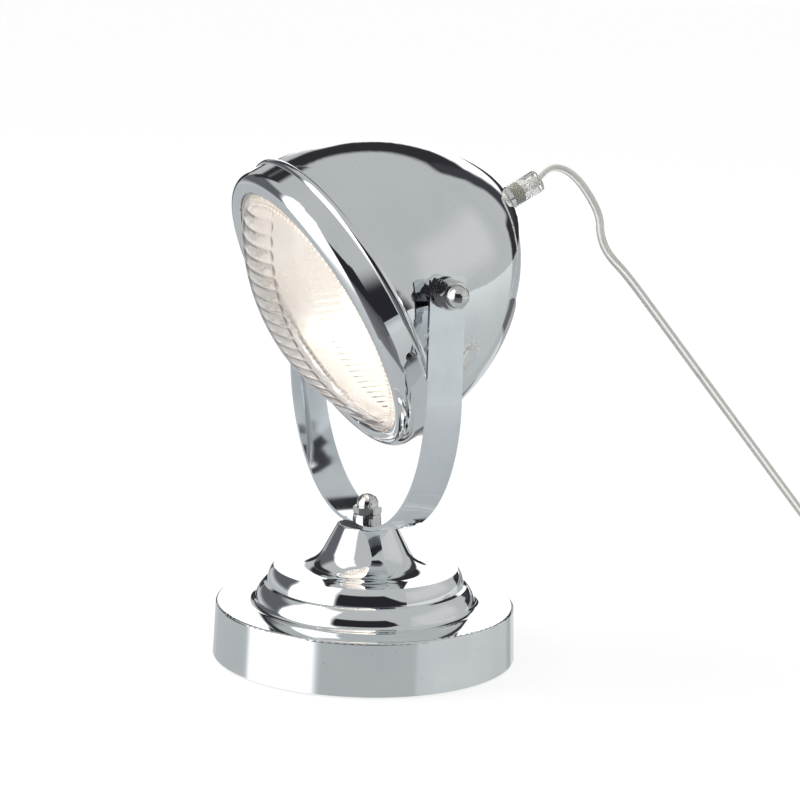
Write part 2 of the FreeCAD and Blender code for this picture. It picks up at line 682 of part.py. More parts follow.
def trim_ring():
    """Rolled ring: a bead at the back, a plain band and a rounded lip over the glass."""
    roll_centre = (RING_RADIUS - S.lip_radius, S.lip_start + S.lip_radius - S.lip_roll)
    reach = (roll_centre[0] - WINDOW_RADIUS) / S.lip_roll
    drop = root(1 - reach * reach)
    roll_in = S.lip_roll - S.ring_wall
    inner = RING_RADIUS - S.ring_wall
    bead_top = S.ring_back + S.bead_width
    body = turned("ring_band", [
        (RING_RADIUS, S.ring_back, S.bead_radius, LEFT),
        (RING_RADIUS, bead_top),
        (RING_RADIUS, S.lip_start, S.lip_radius, LEFT),
        (roll_centre[0], S.lip_start + S.lip_radius, S.lip_roll, LEFT),
        (WINDOW_RADIUS, roll_centre[1] + S.lip_roll * drop),
        (roll_centre[0] - roll_in * reach, roll_centre[1] + roll_in * drop, roll_in, RIGHT),
        (roll_centre[0], S.lip_start + S.lip_radius - S.ring_wall,
         S.lip_radius - S.ring_wall, RIGHT),
        (inner, S.lip_start),
        (inner, S.ring_back),
    ])
    on_head(body)
    hole = post("ring_hole", S.trim_screw_radius + S.running_gap, 4 * S.ring_wall)
    radial_place(hole, RING_RADIUS - 2 * S.ring_wall, S.trim_forward, S.trim_angle)
    return cut("trim_ring", body, [hole])


def trim_screw():
    top = S.trim_head_height
    low = -S.trim_screw_length
    rise = top / 2
    round_top = (rise * rise + S.trim_head_radius * S.trim_head_radius) / (2 * rise)
    body = turned("trim_screw", [
        (0, low), (S.trim_screw_radius, low), (S.trim_screw_radius, 0),
        (S.trim_head_radius, 0), (S.trim_head_radius, rise, round_top, LEFT), (0, top)])
    return radial_place(body, RING_RADIUS, S.trim_forward, S.trim_angle)


TAB_TOP = S.bucket_radius - S.bucket_wall - S.clip_gap


def screw_tab():
    """Tab welded inside the bucket's rim, with the thread for the trim screw."""
    half_wide, half_long = S.tab_width / 2, S.tab_length / 2
    plate = padded("tab_plate", S.tab_thickness, [rounded(half_long, half_wide, S.tab_corner)],
                   [(half_wide - half_long, 0, S.trim_screw_radius + S.thread_gap)])
    forward = S.trim_forward - (half_long - half_wide)
    return radial_place(plate, TAB_TOP - S.tab_thickness, forward, S.trim_angle)


LENS_FRONT = S.lip_start + S.lip_radius - S.lip_roll + S.lens_seat
LENS_BACK = LENS_FRONT - S.lens_edge
FLANGE_FRONT = LENS_BACK - S.gasket_thickness
FLANGE_BACK = FLANGE_FRONT - S.dish_wall
DISH_FLOOR = FLANGE_FRONT - S.dish_depth


def lens():
    """Domed glass with a flat edge that the lip holds."""
    edge = WINDOW_RADIUS - S.lens_gap
    curve = (edge * edge + S.lens_bulge * S.lens_bulge) / (2 * S.lens_bulge)
    inner_curve = curve - S.lens_glass
    axis = LENS_FRONT + S.lens_bulge - curve
    back_drop = LENS_BACK - axis
    inner_edge = root(inner_curve * inner_curve - back_drop * back_drop)
    body = turned("lens", [
        (inner_edge, LENS_BACK), (LENS_RADIUS, LENS_BACK), (LENS_RADIUS, LENS_FRONT),
        (edge, LENS_FRONT, curve, LEFT), (0, LENS_FRONT + S.lens_bulge),
        (0, LENS_FRONT + S.lens_bulge - S.lens_glass, inner_curve, RIGHT)])
    return on_head(body)


def lens_gasket():
    body = turned("lens_gasket", ring(CLIP_INNER, FLANGE_RADIUS, S.gasket_thickness))
    return on_head(body, FLANGE_FRONT)


def reflector():
    """Pressed dish with a flat rim and a hole for the lamp holder."""
    body = turned("reflector", [
        (DISH_HOLE, DISH_FLOOR - S.dish_wall, S.dish_curve, LEFT),
        (DISH_RADIUS + S.dish_wall, FLANGE_BACK),
        (FLANGE_RADIUS, FLANGE_BACK),
        (FLANGE_RADIUS, FLANGE_FRONT),
        (DISH_RADIUS, FLANGE_FRONT, S.dish_curve, RIGHT),
        (DISH_HOLE, DISH_FLOOR)])
    return on_head(body)


CLIP_ANGLES = (45, 135, 225, 315)


def retaining_clips():
    """Four spring clips between the trim ring and the reflector's rim."""
    top = FLANGE_BACK - S.clip_gap
    outer = RING_RADIUS - S.ring_wall - S.clip_gap
    thick = S.clip_thickness
    outline = [(CLIP_INNER, top - thick), (outer - thick, top - thick),
               (outer - thick, top - S.clip_length), (outer, top - S.clip_length),
               (outer, top), (CLIP_INNER, top)]
    clips = []
    for angle in CLIP_ANGLES:
        clip = turned("clip%d" % angle, outline)
        clip.Tip.setExpression("Angle", S.clip_sweep.text)
        turn = "%s * rotation(vector(0; 0; 1); %d)" % (HEAD_TURN, angle)
        clips.append(on_head(clip, 0, turn))
    return grouped("retaining_clips", clips)


HOLDER_FRONT = DISH_FLOOR + S.holder_front
HOLDER_BACK = HOLDER_FRONT - S.holder_length
COLLAR_FRONT = DISH_FLOOR - S.dish_wall
STEP_FRONT = COLLAR_FRONT - S.flange_step
CAP_BACK = HOLDER_BACK + S.holder_floor + S.end_gap
BULB_SEAT = CAP_BACK + S.bulb_cap_length


def lamp_holder():
    """Moulded holder: it stands in the dish's hole and its flange backs the collar."""
    floor = HOLDER_BACK + S.holder_floor
    step = STEP_FRONT - S.flange_thickness
    body = turned("lamp_holder", [
        (S.wire_hole, HOLDER_BACK), (S.holder_radius, HOLDER_BACK), (S.holder_radius, step),
        (S.holder_flange, step), (S.holder_flange, STEP_FRONT), (S.holder_radius, STEP_FRONT),
        (S.holder_radius, HOLDER_FRONT), (HOLDER_BORE, HOLDER_FRONT), (HOLDER_BORE, floor),
        (S.wire_hole, floor)])
    return on_head(body)


def holder_collar():
    inner = S.holder_radius + S.running_gap
    body = turned("holder_collar", ring(inner, S.collar_radius, S.flange_step))
    return on_head(body, STEP_FRONT)


def bulb_cap():
    body = turned("bulb_cap", [
        (0, 0), (S.contact_radius, 0), (S.cap_radius, S.cap_taper),
        (S.cap_radius, S.bulb_cap_length), (0, S.bulb_cap_length)])
    return on_head(body, CAP_BACK)


def bulb():
    """Blown glass: a neck that widens into a round end."""
    wall = S.bulb_glass
    centre = S.bulb_length - S.bulb_radius
    bend = S.bulb_length
    inner = S.bulb_radius - wall
    body = turned("bulb", [
        (S.bulb_neck - wall, 0), (S.bulb_neck, 0, bend, RIGHT), (S.bulb_radius, centre,
                                                                  S.bulb_radius, LEFT),
        (0, S.bulb_length), (0, S.bulb_length - wall, inner, RIGHT),
        (inner, centre, bend + wall, LEFT)])
    return on_head(body, BULB_SEAT)


REAR_POLE = NOSE_CENTRE - S.nose_radius
LOCK_FRONT = nose_height(S.nipple_radius, 0)
LOCK_BACK = LOCK_FRONT - S.lock_height
GRIP_BACK = LOCK_BACK - S.grip_length
LEAD_RADIUS = S.cord_diameter / 2


def rear_fittings():
    """The threaded nipple through the bucket's pole, its nuts, and the clear cord grip."""
    low = LOCK_BACK - S.nipple_outside + S.lock_height
    high = REAR_POLE + S.nipple_inside
    nipple = turned("rear_nipple", ring(S.nipple_bore, S.nipple_radius, high - low))
    keep(on_head(nipple, low), "rear_nipple")
    bore = S.nipple_radius + S.thread_gap
    seat = nose_height(S.inner_washer_radius, S.bucket_wall)
    washer = ring(bore, S.inner_washer_radius, S.inner_washer_thickness)
    keep(on_head(turned("nipple_washer", washer), seat), "nipple_washer")
    nut = hex_nut("nipple_nut", S.inner_nut_width, S.inner_nut_height, bore)
    keep(on_head(nut, seat + S.inner_washer_thickness), "nipple_nut")
    lock = turned("grip_lock_ring", ring(bore, S.lock_radius, S.lock_height))
    keep(on_head(lock, LOCK_BACK), "grip_lock_ring")
    sleeve_bore = bore + S.sleeve_wall
    sleeve = turned("grip_sleeve", ring(bore, sleeve_bore, S.sleeve_length))
    keep(on_head(sleeve, LOCK_BACK - S.sleeve_length), "grip_sleeve")
    step = S.grip_length - S.grip_step
    lead_bore = LEAD_RADIUS + S.lead_gap
    grip = turned("grip_tube", [
        (lead_bore, 0), (S.grip_radius, 0), (S.grip_radius, S.grip_length),
        (sleeve_bore + S.thread_gap, S.grip_length), (sleeve_bore + S.thread_gap, step),
        (lead_bore, step - S.grip_cone)])
    on_head(grip, GRIP_BACK)
    slot = block("grip_slot_cut", S.grip_slot, 4 * S.grip_radius, S.grip_slot_depth)
    corner = head_point(-S.grip_slot / 2, -2 * S.grip_radius, GRIP_BACK)
    put(slot, *corner, turn=HEAD_TURN)
    keep(cut("cord_grip", grip, [slot]), "cord_grip")
    low = GRIP_BACK + S.lead_end_gap
    lead = post("inner_lead", LEAD_RADIUS, HOLDER_BACK + S.lead_inside - low)
    keep(on_head(lead, low), "inner_lead")


ARM_INNER = ARM_REACH - S.strip_thickness
STACK_WASHER = ARM_REACH + S.jam_height
STACK_SPRING = STACK_WASHER + S.washer_thickness
STACK_CAP = STACK_SPRING + S.spring_thickness


def pivot_fittings():
    """What holds the bucket between the arms, the same on both sides."""
    bore = S.rod_radius + S.thread_gap
    inner_nut_seat = PAD_REACH - S.jam_height
    low = inner_nut_seat - S.stud_inside
    tip = STACK_CAP + S.cap_depth - S.end_gap
    stud = turned("pivot_stud", rod_outline(length(0), tip - low))
    keep(both_sides("pivot_studs", on_pivot(stud, low)), "pivot_studs")
    outside = bucket_solid("bucket_outside", length(0))
    inside = bucket_solid("bucket_inside", S.bucket_wall)
    blank = turned("bush_blank", ring(bore, S.bush_radius, ARM_INNER - PAD_REACH))
    bush = cut("pivot_bush", on_pivot(blank, PAD_REACH), [outside])
    keep(both_sides("pivot_bushes", bush), "pivot_bushes")
    blank = turned("inner_blank", ring(bore, S.inner_pad_radius, ARM_INNER - PAD_REACH))
    pad = common("pivot_inner_pad", on_pivot(blank, PAD_REACH), inside)
    keep(both_sides("pivot_inner_pads", pad), "pivot_inner_pads")
    nut = on_pivot(hex_nut("pivot_inner_nut", S.nut_width, S.jam_height, bore), inner_nut_seat)
    keep(both_sides("pivot_inner_nuts", nut), "pivot_inner_nuts")
    jam = on_pivot(hex_nut("pivot_jam_nut", S.nut_width, S.jam_height, bore), ARM_REACH)
    keep(both_sides("pivot_jam_nuts", jam), "pivot_jam_nuts")
    washer = turned("pivot_flat_washer", ring(bore, S.pivot_washer, S.washer_thickness))
    keep(both_sides("pivot_flat_washers", on_pivot(washer, STACK_WASHER)),
         "pivot_flat_washers")
    spring = on_pivot(spring_washer("pivot_spring_washer"), STACK_SPRING)
    keep(both_sides("pivot_spring_washers", spring), "pivot_spring_washers")
    cap = on_pivot(cap_nut("pivot_cap_nut"), STACK_CAP)
    keep(both_sides("pivot_cap_nuts", cap), "pivot_cap_nuts")


# The switch lies on the cord. Its pieces are drawn about its own middle, on the table.
def switch_box(name, low, high, inset):
    """A round-cornered block of the switch, smaller by an inset all round."""
    half_long, half_wide = S.switch_length / 2 - inset, S.switch_width / 2 - inset
    outline = rounded(half_long, half_wide, S.switch_corner - inset)
    return at_switch(padded(name, high - low, [outline]), 0, 0, low)


def at_switch(piece, x, y, z, turn=FLAT_TURN):
    return put(piece, S.switch_x + x, S.switch_y + y, z, turn)


def screw_spots():
    return [(S.screw_along, -S.screw_across), (-S.screw_along, S.screw_across)]


def switch_lower_shell():
    tray = cut("switch_tray", switch_box("tray_block", length(0), S.switch_split, length(0)),
               [switch_box("tray_hollow", S.switch_wall, S.switch_split + S.cut_margin,
                           S.switch_wall)])
    bosses, holes = [], []
    for index, (x, y) in enumerate(screw_spots()):
        low = S.switch_wall - S.boss_sink
        boss = post("tray_boss%d" % index, S.screw_boss, S.switch_split - low)
        bosses.append(at_switch(boss, x, y, low))
        hole = post("tray_hole%d" % index, S.switch_screw_radius + S.thread_gap, S.switch_split)
        holes.append(at_switch(hole, x, y, S.switch_head_height))
        well = post("tray_well%d" % index, S.switch_screw_head + S.head_gap,
                    2 * S.switch_head_height)
        holes.append(at_switch(well, x, y, -S.switch_head_height))
    reach = S.switch_length / 2 + S.cut_margin
    entry = post("entry_bore", LEAD_RADIUS + S.entry_gap, 2 * reach)
    holes.append(at_switch(entry, -reach, 0, S.entry_height, X_TURN))
    return cut("switch_lower_shell", fused("tray_bossed", [tray] + bosses), holes)


def switch_upper_shell():
    top = S.switch_height
    lid = cut("switch_lid", switch_box("lid_block", S.switch_split, top, length(0)),
              [switch_box("lid_hollow", S.switch_split - S.cut_margin, top - S.switch_wall,
                          S.switch_wall)])
    extras, holes = [], []
    for index, (x, y) in enumerate(screw_spots()):
        boss = post("lid_boss%d" % index, S.screw_boss,
                    top - S.switch_wall + S.boss_sink - S.switch_split)
        extras.append(at_switch(boss, x, y, S.switch_split))
        hole = post("lid_hole%d" % index, S.switch_screw_radius + S.thread_gap,
                    top - S.switch_split - S.switch_wall)
        holes.append(at_switch(hole, x, y, S.switch_split))
    inner = S.rocker_width / 2 + S.window_side_gap
    for index, side in enumerate((inner, -inner - S.ear_thickness)):
        ear = block("ear%d" % index, S.ear_length, S.ear_thickness, S.ear_drop)
        low = top - S.switch_wall + S.boss_sink - S.ear_drop
        extras.append(at_switch(ear, -S.ear_length / 2, side, low))
    half = S.rocker_length / 2 + S.window_end_gap
    window = block("rocker_window", 2 * half, 2 * inner, S.switch_wall + 2 * S.cut_margin)
    holes.append(at_switch(window, -half, -inner, top - S.switch_wall - S.cut_margin))
    reach = inner + S.ear_thickness + S.cut_margin
    pin_hole = post("ear_bore", S.pin_radius + S.thread_gap, 2 * reach)
    holes.append(at_switch(pin_hole, 0, -reach, S.rocker_pivot, Y_TURN))
    return cut("switch_upper_shell", fused("lid_bossed", [lid] + extras), holes)


def switch_rocker():
    """Rocker with a dished top, pressed down at one end at rest."""
    half = S.rocker_length / 2
    high, low = S.rocker_rise, -S.rocker_depth
    dish = (half * half + S.rocker_dip * S.rocker_dip) / (2 * S.rocker_dip)
    profile = [(-S.rocker_heel, low), (S.rocker_heel, low), (half, S.rocker_skirt),
               (half, high, dish, RIGHT), (-half, high), (-half, S.rocker_skirt)]
    pin = [(0, 0, S.pin_radius + S.running_gap)]
    body = padded("switch_rocker", S.rocker_width, [profile], pin, "XZ_Plane")
    turn = "rotation(vector(0; 1; 0); Sizes.rocker_tilt)"
    return at_switch(body, 0, S.rocker_width / 2, S.rocker_pivot, turn)


def rocker_pin():
    half = S.rocker_width / 2 + S.window_side_gap + S.ear_thickness
    pin = post("rocker_pin", S.pin_radius, 2 * half)
    return at_switch(pin, 0, -half, S.rocker_pivot, Y_TURN)


def switch_screws():
    low = S.head_gap - S.switch_head_height
    top = S.switch_height - S.switch_wall - S.switch_head_height - S.end_gap
    outline = [(0, low), (S.switch_screw_head, low), (S.switch_screw_head, 0),
               (S.switch_screw_radius, 0), (S.switch_screw_radius, top), (0, top)]
    screws = []
    for index, (x, y) in enumerate(screw_spots()):
        screw = turned("switch_screw%d" % index, outline)
        screws.append(at_switch(screw, x, y, S.switch_head_height))
    return grouped("switch_screws", screws)


def switch_terminals():
    blocks = []
    for index, x in enumerate((S.terminal_along, -S.terminal_along)):
        terminal = block("terminal%d" % index, S.terminal_length, S.terminal_width,
                         S.terminal_height)
        blocks.append(at_switch(terminal, x - S.terminal_length / 2, -S.terminal_width / 2,
                                S.switch_wall))
    return grouped("switch_terminals", blocks)


def contact_leaf():
    """Brass strip on the terminals, under the rocker."""
    half = S.terminal_along + S.leaf_overlap
    leaf = block("contact_leaf", 2 * half, S.leaf_width, S.leaf_thickness)
    return at_switch(leaf, -half, -S.leaf_width / 2, S.switch_wall + S.terminal_height)


# Cord routes, chosen by hand. The first leaves the grip, arches over and comes down behind the
# lamp to the table. The second goes on from the switch to the coil.
DROP_ROUTE = [
    (0, 112.2, 254.1), (0, 122.1, 250.5), (0, 129.6, 243.2),
    (0.2, 134.1, 233.2), (0.2, 135.4, 221.3), (0, 139.3, 207.8), (0, 149.8, 194.2),
    (-0.5, 168.4, 172.8), (0, 199.0, 136.2), (1.0, 236.5, 92.4), (1.0, 272.0, 52.9),
    (0.4, 295.0, 28.6), (0, 313.0, 12.8), (0, 328.0, 4.6), (0.6, 342.0, 2.3),
    (3.6, 354.6, 2.3), (12.4, 364.4, 3.0), (24.4, 369.4, 4.9), (36.6, 370.0, 5.5),
]
RUN_ROUTE = [
    (120.2, 370.0, 5.5), (131.9, 367.6, 4.6), (141.6, 360.6, 3.4), (147.6, 349.8, 3.0),
    (149.8, 337.4, 3.0), (149.7, 325.0, 3.0),
]


# Each arc takes this share of the shorter of the two runs that it joins.
ARC_SHARE = 0.45


def arc_through(start, middle, end):
    return Part.Arc(start, middle, end).toShape()


def rounded_wire(points):
    """Straight runs joined by arcs that touch both, each as large as its runs allow."""
    edges, radii = [], []
    here = points[0]
    for before, corner, after in zip(points, points[1:], points[2:]):
        into = (corner - before).normalize()
        out = (after - corner).normalize()
        half = into.getAngle(out) / 2
        reach = ARC_SHARE * min((corner - before).Length, (after - corner).Length)
        radius = reach / math.tan(half)
        radii.append(radius)
        start, end = corner - into * reach, corner + out * reach
        middle = corner + (out - into).normalize() * (radius / math.cos(half) - radius)
        edges.append(Part.LineSegment(here, start).toShape())
        edges.append(arc_through(start, middle, end))
        here = end
    edges.append(Part.LineSegment(here, points[-1]).toShape())
    return Part.Wire(edges), radii


def swept(wire, name):
    """A round tube along a wire, with its volume set against its section and length."""
    edge = wire.Edges[0]
    start = edge.valueAt(edge.FirstParameter)
    heading = edge.tangentAt(edge.FirstParameter)
    radius = LEAD_RADIUS.value
    section = Part.Wire([Part.Circle(start, heading, radius).toShape()])
    shape = wire.makePipeShell([section], True, False)
    whole = math.pi * radius ** 2 * wire.Length
    print("%s: length %.1f, volume share %.4f" % (name, wire.Length, shape.Volume / whole))
    return shape


def feature(name, shape):
    piece = doc.addObject("Part::Feature", name)
    piece.Shape = shape
    piece.Placement = Placement()
    return piece


def lead(name, points):
    wire, radii = rounded_wire(points)
    print("%s radii: %s" % (name, " ".join("%.0f" % radius for radius in radii)))
    return keep(feature(name, swept(wire, name)), name)


def numbers(items):
    return Vector(*[length(item).value for item in items])


def lead_drop():
    start = numbers(head_point(0, length(0), GRIP_BACK))
    first = numbers(head_point(0, length(0), GRIP_BACK - S.lead_start))
    end = numbers((S.switch_x - S.switch_length / 2, S.switch_y, S.entry_height))
    lead("lead_drop", [start, first] + [Vector(*point) for point in DROP_ROUTE] + [end])


COIL_LOW = S.cord_diameter / 2 + S.coil_lift
COIL_HIGH = COIL_LOW + S.coil_pitch
HALF_TURN = 0.5


def coil_place(turn):
    """Where the coil's line is after a number of turns: in, over the half turn, and out."""
    inner, pitch = S.coil_inner.value, S.coil_pitch.value
    turns_in = S.turns_in.value
    over = turn - turns_in
    if over < 0:
        radius, height = inner - pitch * over, COIL_LOW.value
    elif over < HALF_TURN:
        rise = (1 - math.cos(2 * math.pi * over)) / 2
        radius, height = inner, COIL_LOW.value + pitch * rise
    else:
        radius, height = inner + pitch * (over - HALF_TURN), COIL_HIGH.value
    angle = -2 * math.pi * turn
    return Vector(S.coil_x.value + radius * math.cos(angle),
                  S.coil_y.value + radius * math.sin(angle), height)


def biarc(start, into, end, out):
    """Two arcs that leave one point and reach the next in given directions."""
    chord = end - start
    both = into + out
    spread = 2 * (1 - into.dot(out))
    lean = chord.dot(both)
    reach = (-lean + math.sqrt(lean ** 2 + spread * chord.dot(chord))) / spread
    first, second = start + into * reach, end - out * reach
    joint = (first + second) * 0.5
    arcs = []
    for a, corner, b in ((start, first, joint), (joint, second, end)):
        bisector = (a + b) * 0.5 - corner
        half = (corner - a).getAngle(b - corner) / 2
        radius = (corner - a).Length / math.tan(half)
        middle = corner + bisector.normalize() * (radius / math.cos(half) - radius)
        arcs.append(arc_through(a, middle, b))
    return arcs


COIL_TURNS = S.turns_in.value + HALF_TURN + S.turns_out.value
QUARTER = 0.25
SMALL_TURN = 1e-4


def coil_heading(turn):
    return (coil_place(turn + SMALL_TURN) - coil_place(turn - SMALL_TURN)).normalize()


def coil_tail_end():
    last = coil_place(COIL_TURNS)
    return last + Vector(-S.coil_tail.value, 0, 0)


def least_gap(wire):
    """The smallest distance between the tube and itself, from points along its line."""
    step = S.cord_diameter.value / 4
    points = wire.discretize(Number=int(wire.Length / step))
    apart = int(4 * S.cord_diameter.value / step)
    least = min((p - q).Length for i, p in enumerate(points) for q in points[i + apart:])
    return least - S.cord_diameter.value


def lead_coil():
    steps = int(round(COIL_TURNS / QUARTER))
    places = [coil_place(k * QUARTER) for k in range(steps + 1)]
    headings = [coil_heading(k * QUARTER) for k in range(steps + 1)]
    headings[0], headings[-1] = Vector(0, -1, 0), Vector(-1, 0, 0)
    edges = []
    before = places[0] + Vector(0, S.cord_diameter.value, 0)
    edges.append(Part.LineSegment(before, places[0]).toShape())
    for k in range(steps):
        edges += biarc(places[k], headings[k], places[k + 1], headings[k + 1])
    edges.append(Part.LineSegment(places[-1], coil_tail_end()).toShape())
    wire = Part.Wire(edges)
    print("lead_coil least gap to itself: %.2f" % least_gap(wire))
    keep(feature("lead_coil", swept(wire, "lead_coil")), "lead_coil")


def lead_run():
    start = numbers((S.switch_x + S.switch_length / 2, S.switch_y, S.entry_height))
    end = coil_place(0) + Vector(0, S.cord_diameter.value, 0)
    lead("lead_run", [start] + [Vector(*point) for point in RUN_ROUTE] + [end])


def cord_tie():
    """Flat band round the bundle of turns, on the side away from the lamp."""
    half_cord = S.cord_diameter / 2
    outer_turn = S.coil_inner + S.turns_in * S.coil_pitch
    inner = S.coil_inner - half_cord - S.tie_gap
    wide = outer_turn + half_cord + S.tie_gap - inner
    high = COIL_HIGH + half_cord + S.tie_gap - S.tie_thickness
    thick = S.tie_thickness
    band = block("tie_band", S.tie_width, wide + 2 * thick, high + 2 * thick)
    put(band, S.coil_x - S.tie_width / 2, S.coil_y + inner - thick, 0)
    hollow = block("tie_hollow", S.tie_width + 2 * S.cut_margin, wide, high)
    put(hollow, S.coil_x - S.tie_width / 2 - S.cut_margin, S.coil_y + inner, thick)
    return cut("cord_tie", band, [hollow])


OUTER_END = S.coil_inner + S.turns_out * S.coil_pitch
PLUG_Y = S.coil_y - OUTER_END
RELIEF_X = S.coil_x - S.coil_tail - S.relief_length
PLUG_X = RELIEF_X - S.plug_length


def plug_relief():
    """Tapered sleeve between cord and plug."""
    core = [(0, 0), (S.relief_wide, 0), (S.relief_narrow, S.relief_length),
            (0, S.relief_length)]
    return put(turned("plug_relief", core), RELIEF_X, PLUG_Y, COIL_HIGH, X_TURN)


def plug_body():
    """Flat moulded plug: six-sided in plan, wide at the pins and narrow at the cord."""
    half, waist, edge = S.plug_width / 2, S.plug_waist / 2, S.plug_edge
    middle = S.plug_length / 2
    outline = [(0, -half + edge), (edge, -half), (middle, -half), (S.plug_length, -waist),
               (S.plug_length, waist), (middle, half), (edge, half), (0, half - edge)]
    body = padded("plug_block", 2 * COIL_HIGH, [outline])
    put(body, PLUG_X, PLUG_Y, 0)
    holes = []
    for index, side in enumerate((S.pin_spacing / 2, -S.pin_spacing / 2)):
        hole = post("plug_hole%d" % index, S.plug_pin_radius + S.thread_gap, S.pin_root)
        holes.append(put(hole, PLUG_X, PLUG_Y + side, COIL_HIGH, X_TURN))
    return cut("plug_body", body, holes)


def plug_pins():
    bevel = S.pin_bevel
    whole = S.pin_root + S.pin_length
    outline = [(0, 0), (S.plug_pin_radius - bevel, 0), (S.plug_pin_radius, bevel),
               (S.plug_pin_radius, whole), (0, whole)]
    pins = []
    for index, side in enumerate((S.pin_spacing / 2, -S.pin_spacing / 2)):
        pin = turned("plug_pin%d" % index, outline)
        pins.append(put(pin, PLUG_X - S.pin_length, PLUG_Y + side, COIL_HIGH, X_TURN))
    return grouped("plug_pins", pins)


def filament():
    """Bent wire on the bulb's cap: two legs and a round bridge."""
    half = S.filament_span.value / 2
    straight = S.filament_rise.value
    seat = BULB_SEAT.value
    legs = [Vector(-half, 0, seat), Vector(-half, 0, seat + straight),
            Vector(half, 0, seat + straight), Vector(half, 0, seat)]
    crown = Vector(0, 0, seat + straight + half)
    wire = Part.Wire([
        Part.LineSegment(legs[0], legs[1]).toShape(),
        arc_through(legs[1], crown, legs[2]),
        Part.LineSegment(legs[2], legs[3]).toShape()])
    circle = Part.Circle(legs[0], Vector(0, 0, 1), S.filament_radius.value)
    piece = feature("filament", wire.makePipeShell([Part.Wire([circle.toShape()])], True, False))
    return on_head(piece)


def build_all():
    keep(base_shell(), "base_shell")
    keep(base_weight(), "base_weight")
    keep(bottom_plate(), "bottom_plate")
    keep(base_pad(), "base_pad")
    keep(plate_screws(), "plate_screws")
    base_fasteners()
    keep(yoke_bracket(), "yoke_bracket")
    keep(headlight_bucket(), "headlight_bucket")
    keep(trim_ring(), "trim_ring")
    keep(trim_screw(), "trim_screw")
    keep(screw_tab(), "screw_tab")
    keep(lens(), "lens")
    keep(lens_gasket(), "lens_gasket")
    keep(reflector(), "reflector")
    keep(retaining_clips(), "retaining_clips")
    keep(lamp_holder(), "lamp_holder")
    keep(holder_collar(), "holder_collar")
    keep(bulb_cap(), "bulb_cap")
    keep(bulb(), "bulb")
    keep(filament(), "filament")
    rear_fittings()
    pivot_fittings()
    keep(switch_lower_shell(), "switch_lower_shell")
    keep(switch_upper_shell(), "switch_upper_shell")
    keep(switch_rocker(), "switch_rocker")
    keep(rocker_pin(), "rocker_pin")
    keep(switch_screws(), "switch_screws")
    keep(switch_terminals(), "switch_terminals")
    keep(contact_leaf(), "contact_leaf")
    lead_drop()
    lead_run()
    lead_coil()
    keep(cord_tie(), "cord_tie")
    keep(plug_relief(), "plug_relief")
    keep(plug_body(), "plug_body")
    keep(plug_pins(), "plug_pins")
    doc.recompute()


def check_all():
    """Stops if any object failed, or any sub-part has no sound solid."""
    for item in doc.Objects:
        if "Invalid" in item.State or "Error" in item.State:
            raise RuntimeError("%s failed: %s" % (item.Name, item.State))
    for piece in SUB_PARTS:
        shape = piece.Shape
        if shape.isNull() or not shape.isValid() or not shape.Solids:
            raise RuntimeError("%s has no sound solid" % piece.Label)


build_all()
check_all()
os.makedirs("parts", exist_ok=True)
for piece in SUB_PARTS:
    piece.Shape.exportStep("parts/%s.step" % piece.Label)
    print("%-24s %d solids, %.1f cubic mm" % (piece.Label, len(piece.Shape.Solids),
                                              piece.Shape.Volume))
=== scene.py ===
# %% [markdown]
# # A tabletop searchlight lamp, dressed for its photograph
# The shapes come from a CAD model, which is loaded as a fixed frame of named nodes on moving
# bodies. This script adds what a solid model can't carry: finishes, the moulded glass, the clear
# flat cord, and a studio whose panels the chrome can reflect.

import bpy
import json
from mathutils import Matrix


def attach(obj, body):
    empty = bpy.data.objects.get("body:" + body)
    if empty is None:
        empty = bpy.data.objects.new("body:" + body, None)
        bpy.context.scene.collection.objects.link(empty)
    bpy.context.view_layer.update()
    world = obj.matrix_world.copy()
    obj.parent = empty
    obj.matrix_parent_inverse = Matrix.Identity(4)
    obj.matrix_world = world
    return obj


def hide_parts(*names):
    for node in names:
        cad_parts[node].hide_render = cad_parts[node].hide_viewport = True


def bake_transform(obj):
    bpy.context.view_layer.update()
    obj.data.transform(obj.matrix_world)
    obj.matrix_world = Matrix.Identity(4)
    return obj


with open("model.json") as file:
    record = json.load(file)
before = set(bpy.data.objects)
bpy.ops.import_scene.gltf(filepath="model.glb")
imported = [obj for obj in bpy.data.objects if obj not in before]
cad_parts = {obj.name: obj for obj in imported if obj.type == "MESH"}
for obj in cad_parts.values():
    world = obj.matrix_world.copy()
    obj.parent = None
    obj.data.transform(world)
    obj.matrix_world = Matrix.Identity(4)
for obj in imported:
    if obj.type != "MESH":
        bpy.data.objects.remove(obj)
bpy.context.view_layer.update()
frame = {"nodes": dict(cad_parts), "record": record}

import json
import math

import bmesh
import bpy
from mathutils import Matrix, Vector

scene = bpy.context.scene
MM = 0.001

# %% [markdown]
# ## The camera
# The picture was taken with a long lens from a little above the lamp, so the two arms stay nearly
# parallel. A camera matrix built from three directions (right, up, back) lets us add the
# photograph's small roll without turning it into Euler angles.

# %% Camera
EYE = Vector((1158.254, -528.160, 387.052)) * MM
AIM = Vector((6.540, 13.895, 136.689)) * MM
ROLL = math.radians(1.749)
FOCAL_PIXELS = 2497.5
PICTURE_WIDTH = 800

back = (EYE - AIM).normalized()
level_right = Vector((0, 0, 1)).cross(back).normalized()
level_up = back.cross(level_right)
right = level_right * math.cos(ROLL) + level_up * math.sin(ROLL)
up = level_up * math.cos(ROLL) - level_right * math.sin(ROLL)
camera = bpy.data.objects.new("camera", bpy.data.cameras.new("camera"))
scene.collection.objects.link(camera)
camera.matrix_world = Matrix.Translation(EYE) @ Matrix((right, up, back)).transposed().to_4x4()
camera.data.sensor_width = 36
camera.data.lens = camera.data.sensor_width * FOCAL_PIXELS / PICTURE_WIDTH
camera.data.clip_start, camera.data.clip_end = 0.05, 60
scene.camera = camera
print("camera distance", round((EYE - AIM).length, 3), "m, lens", round(camera.data.lens, 1))

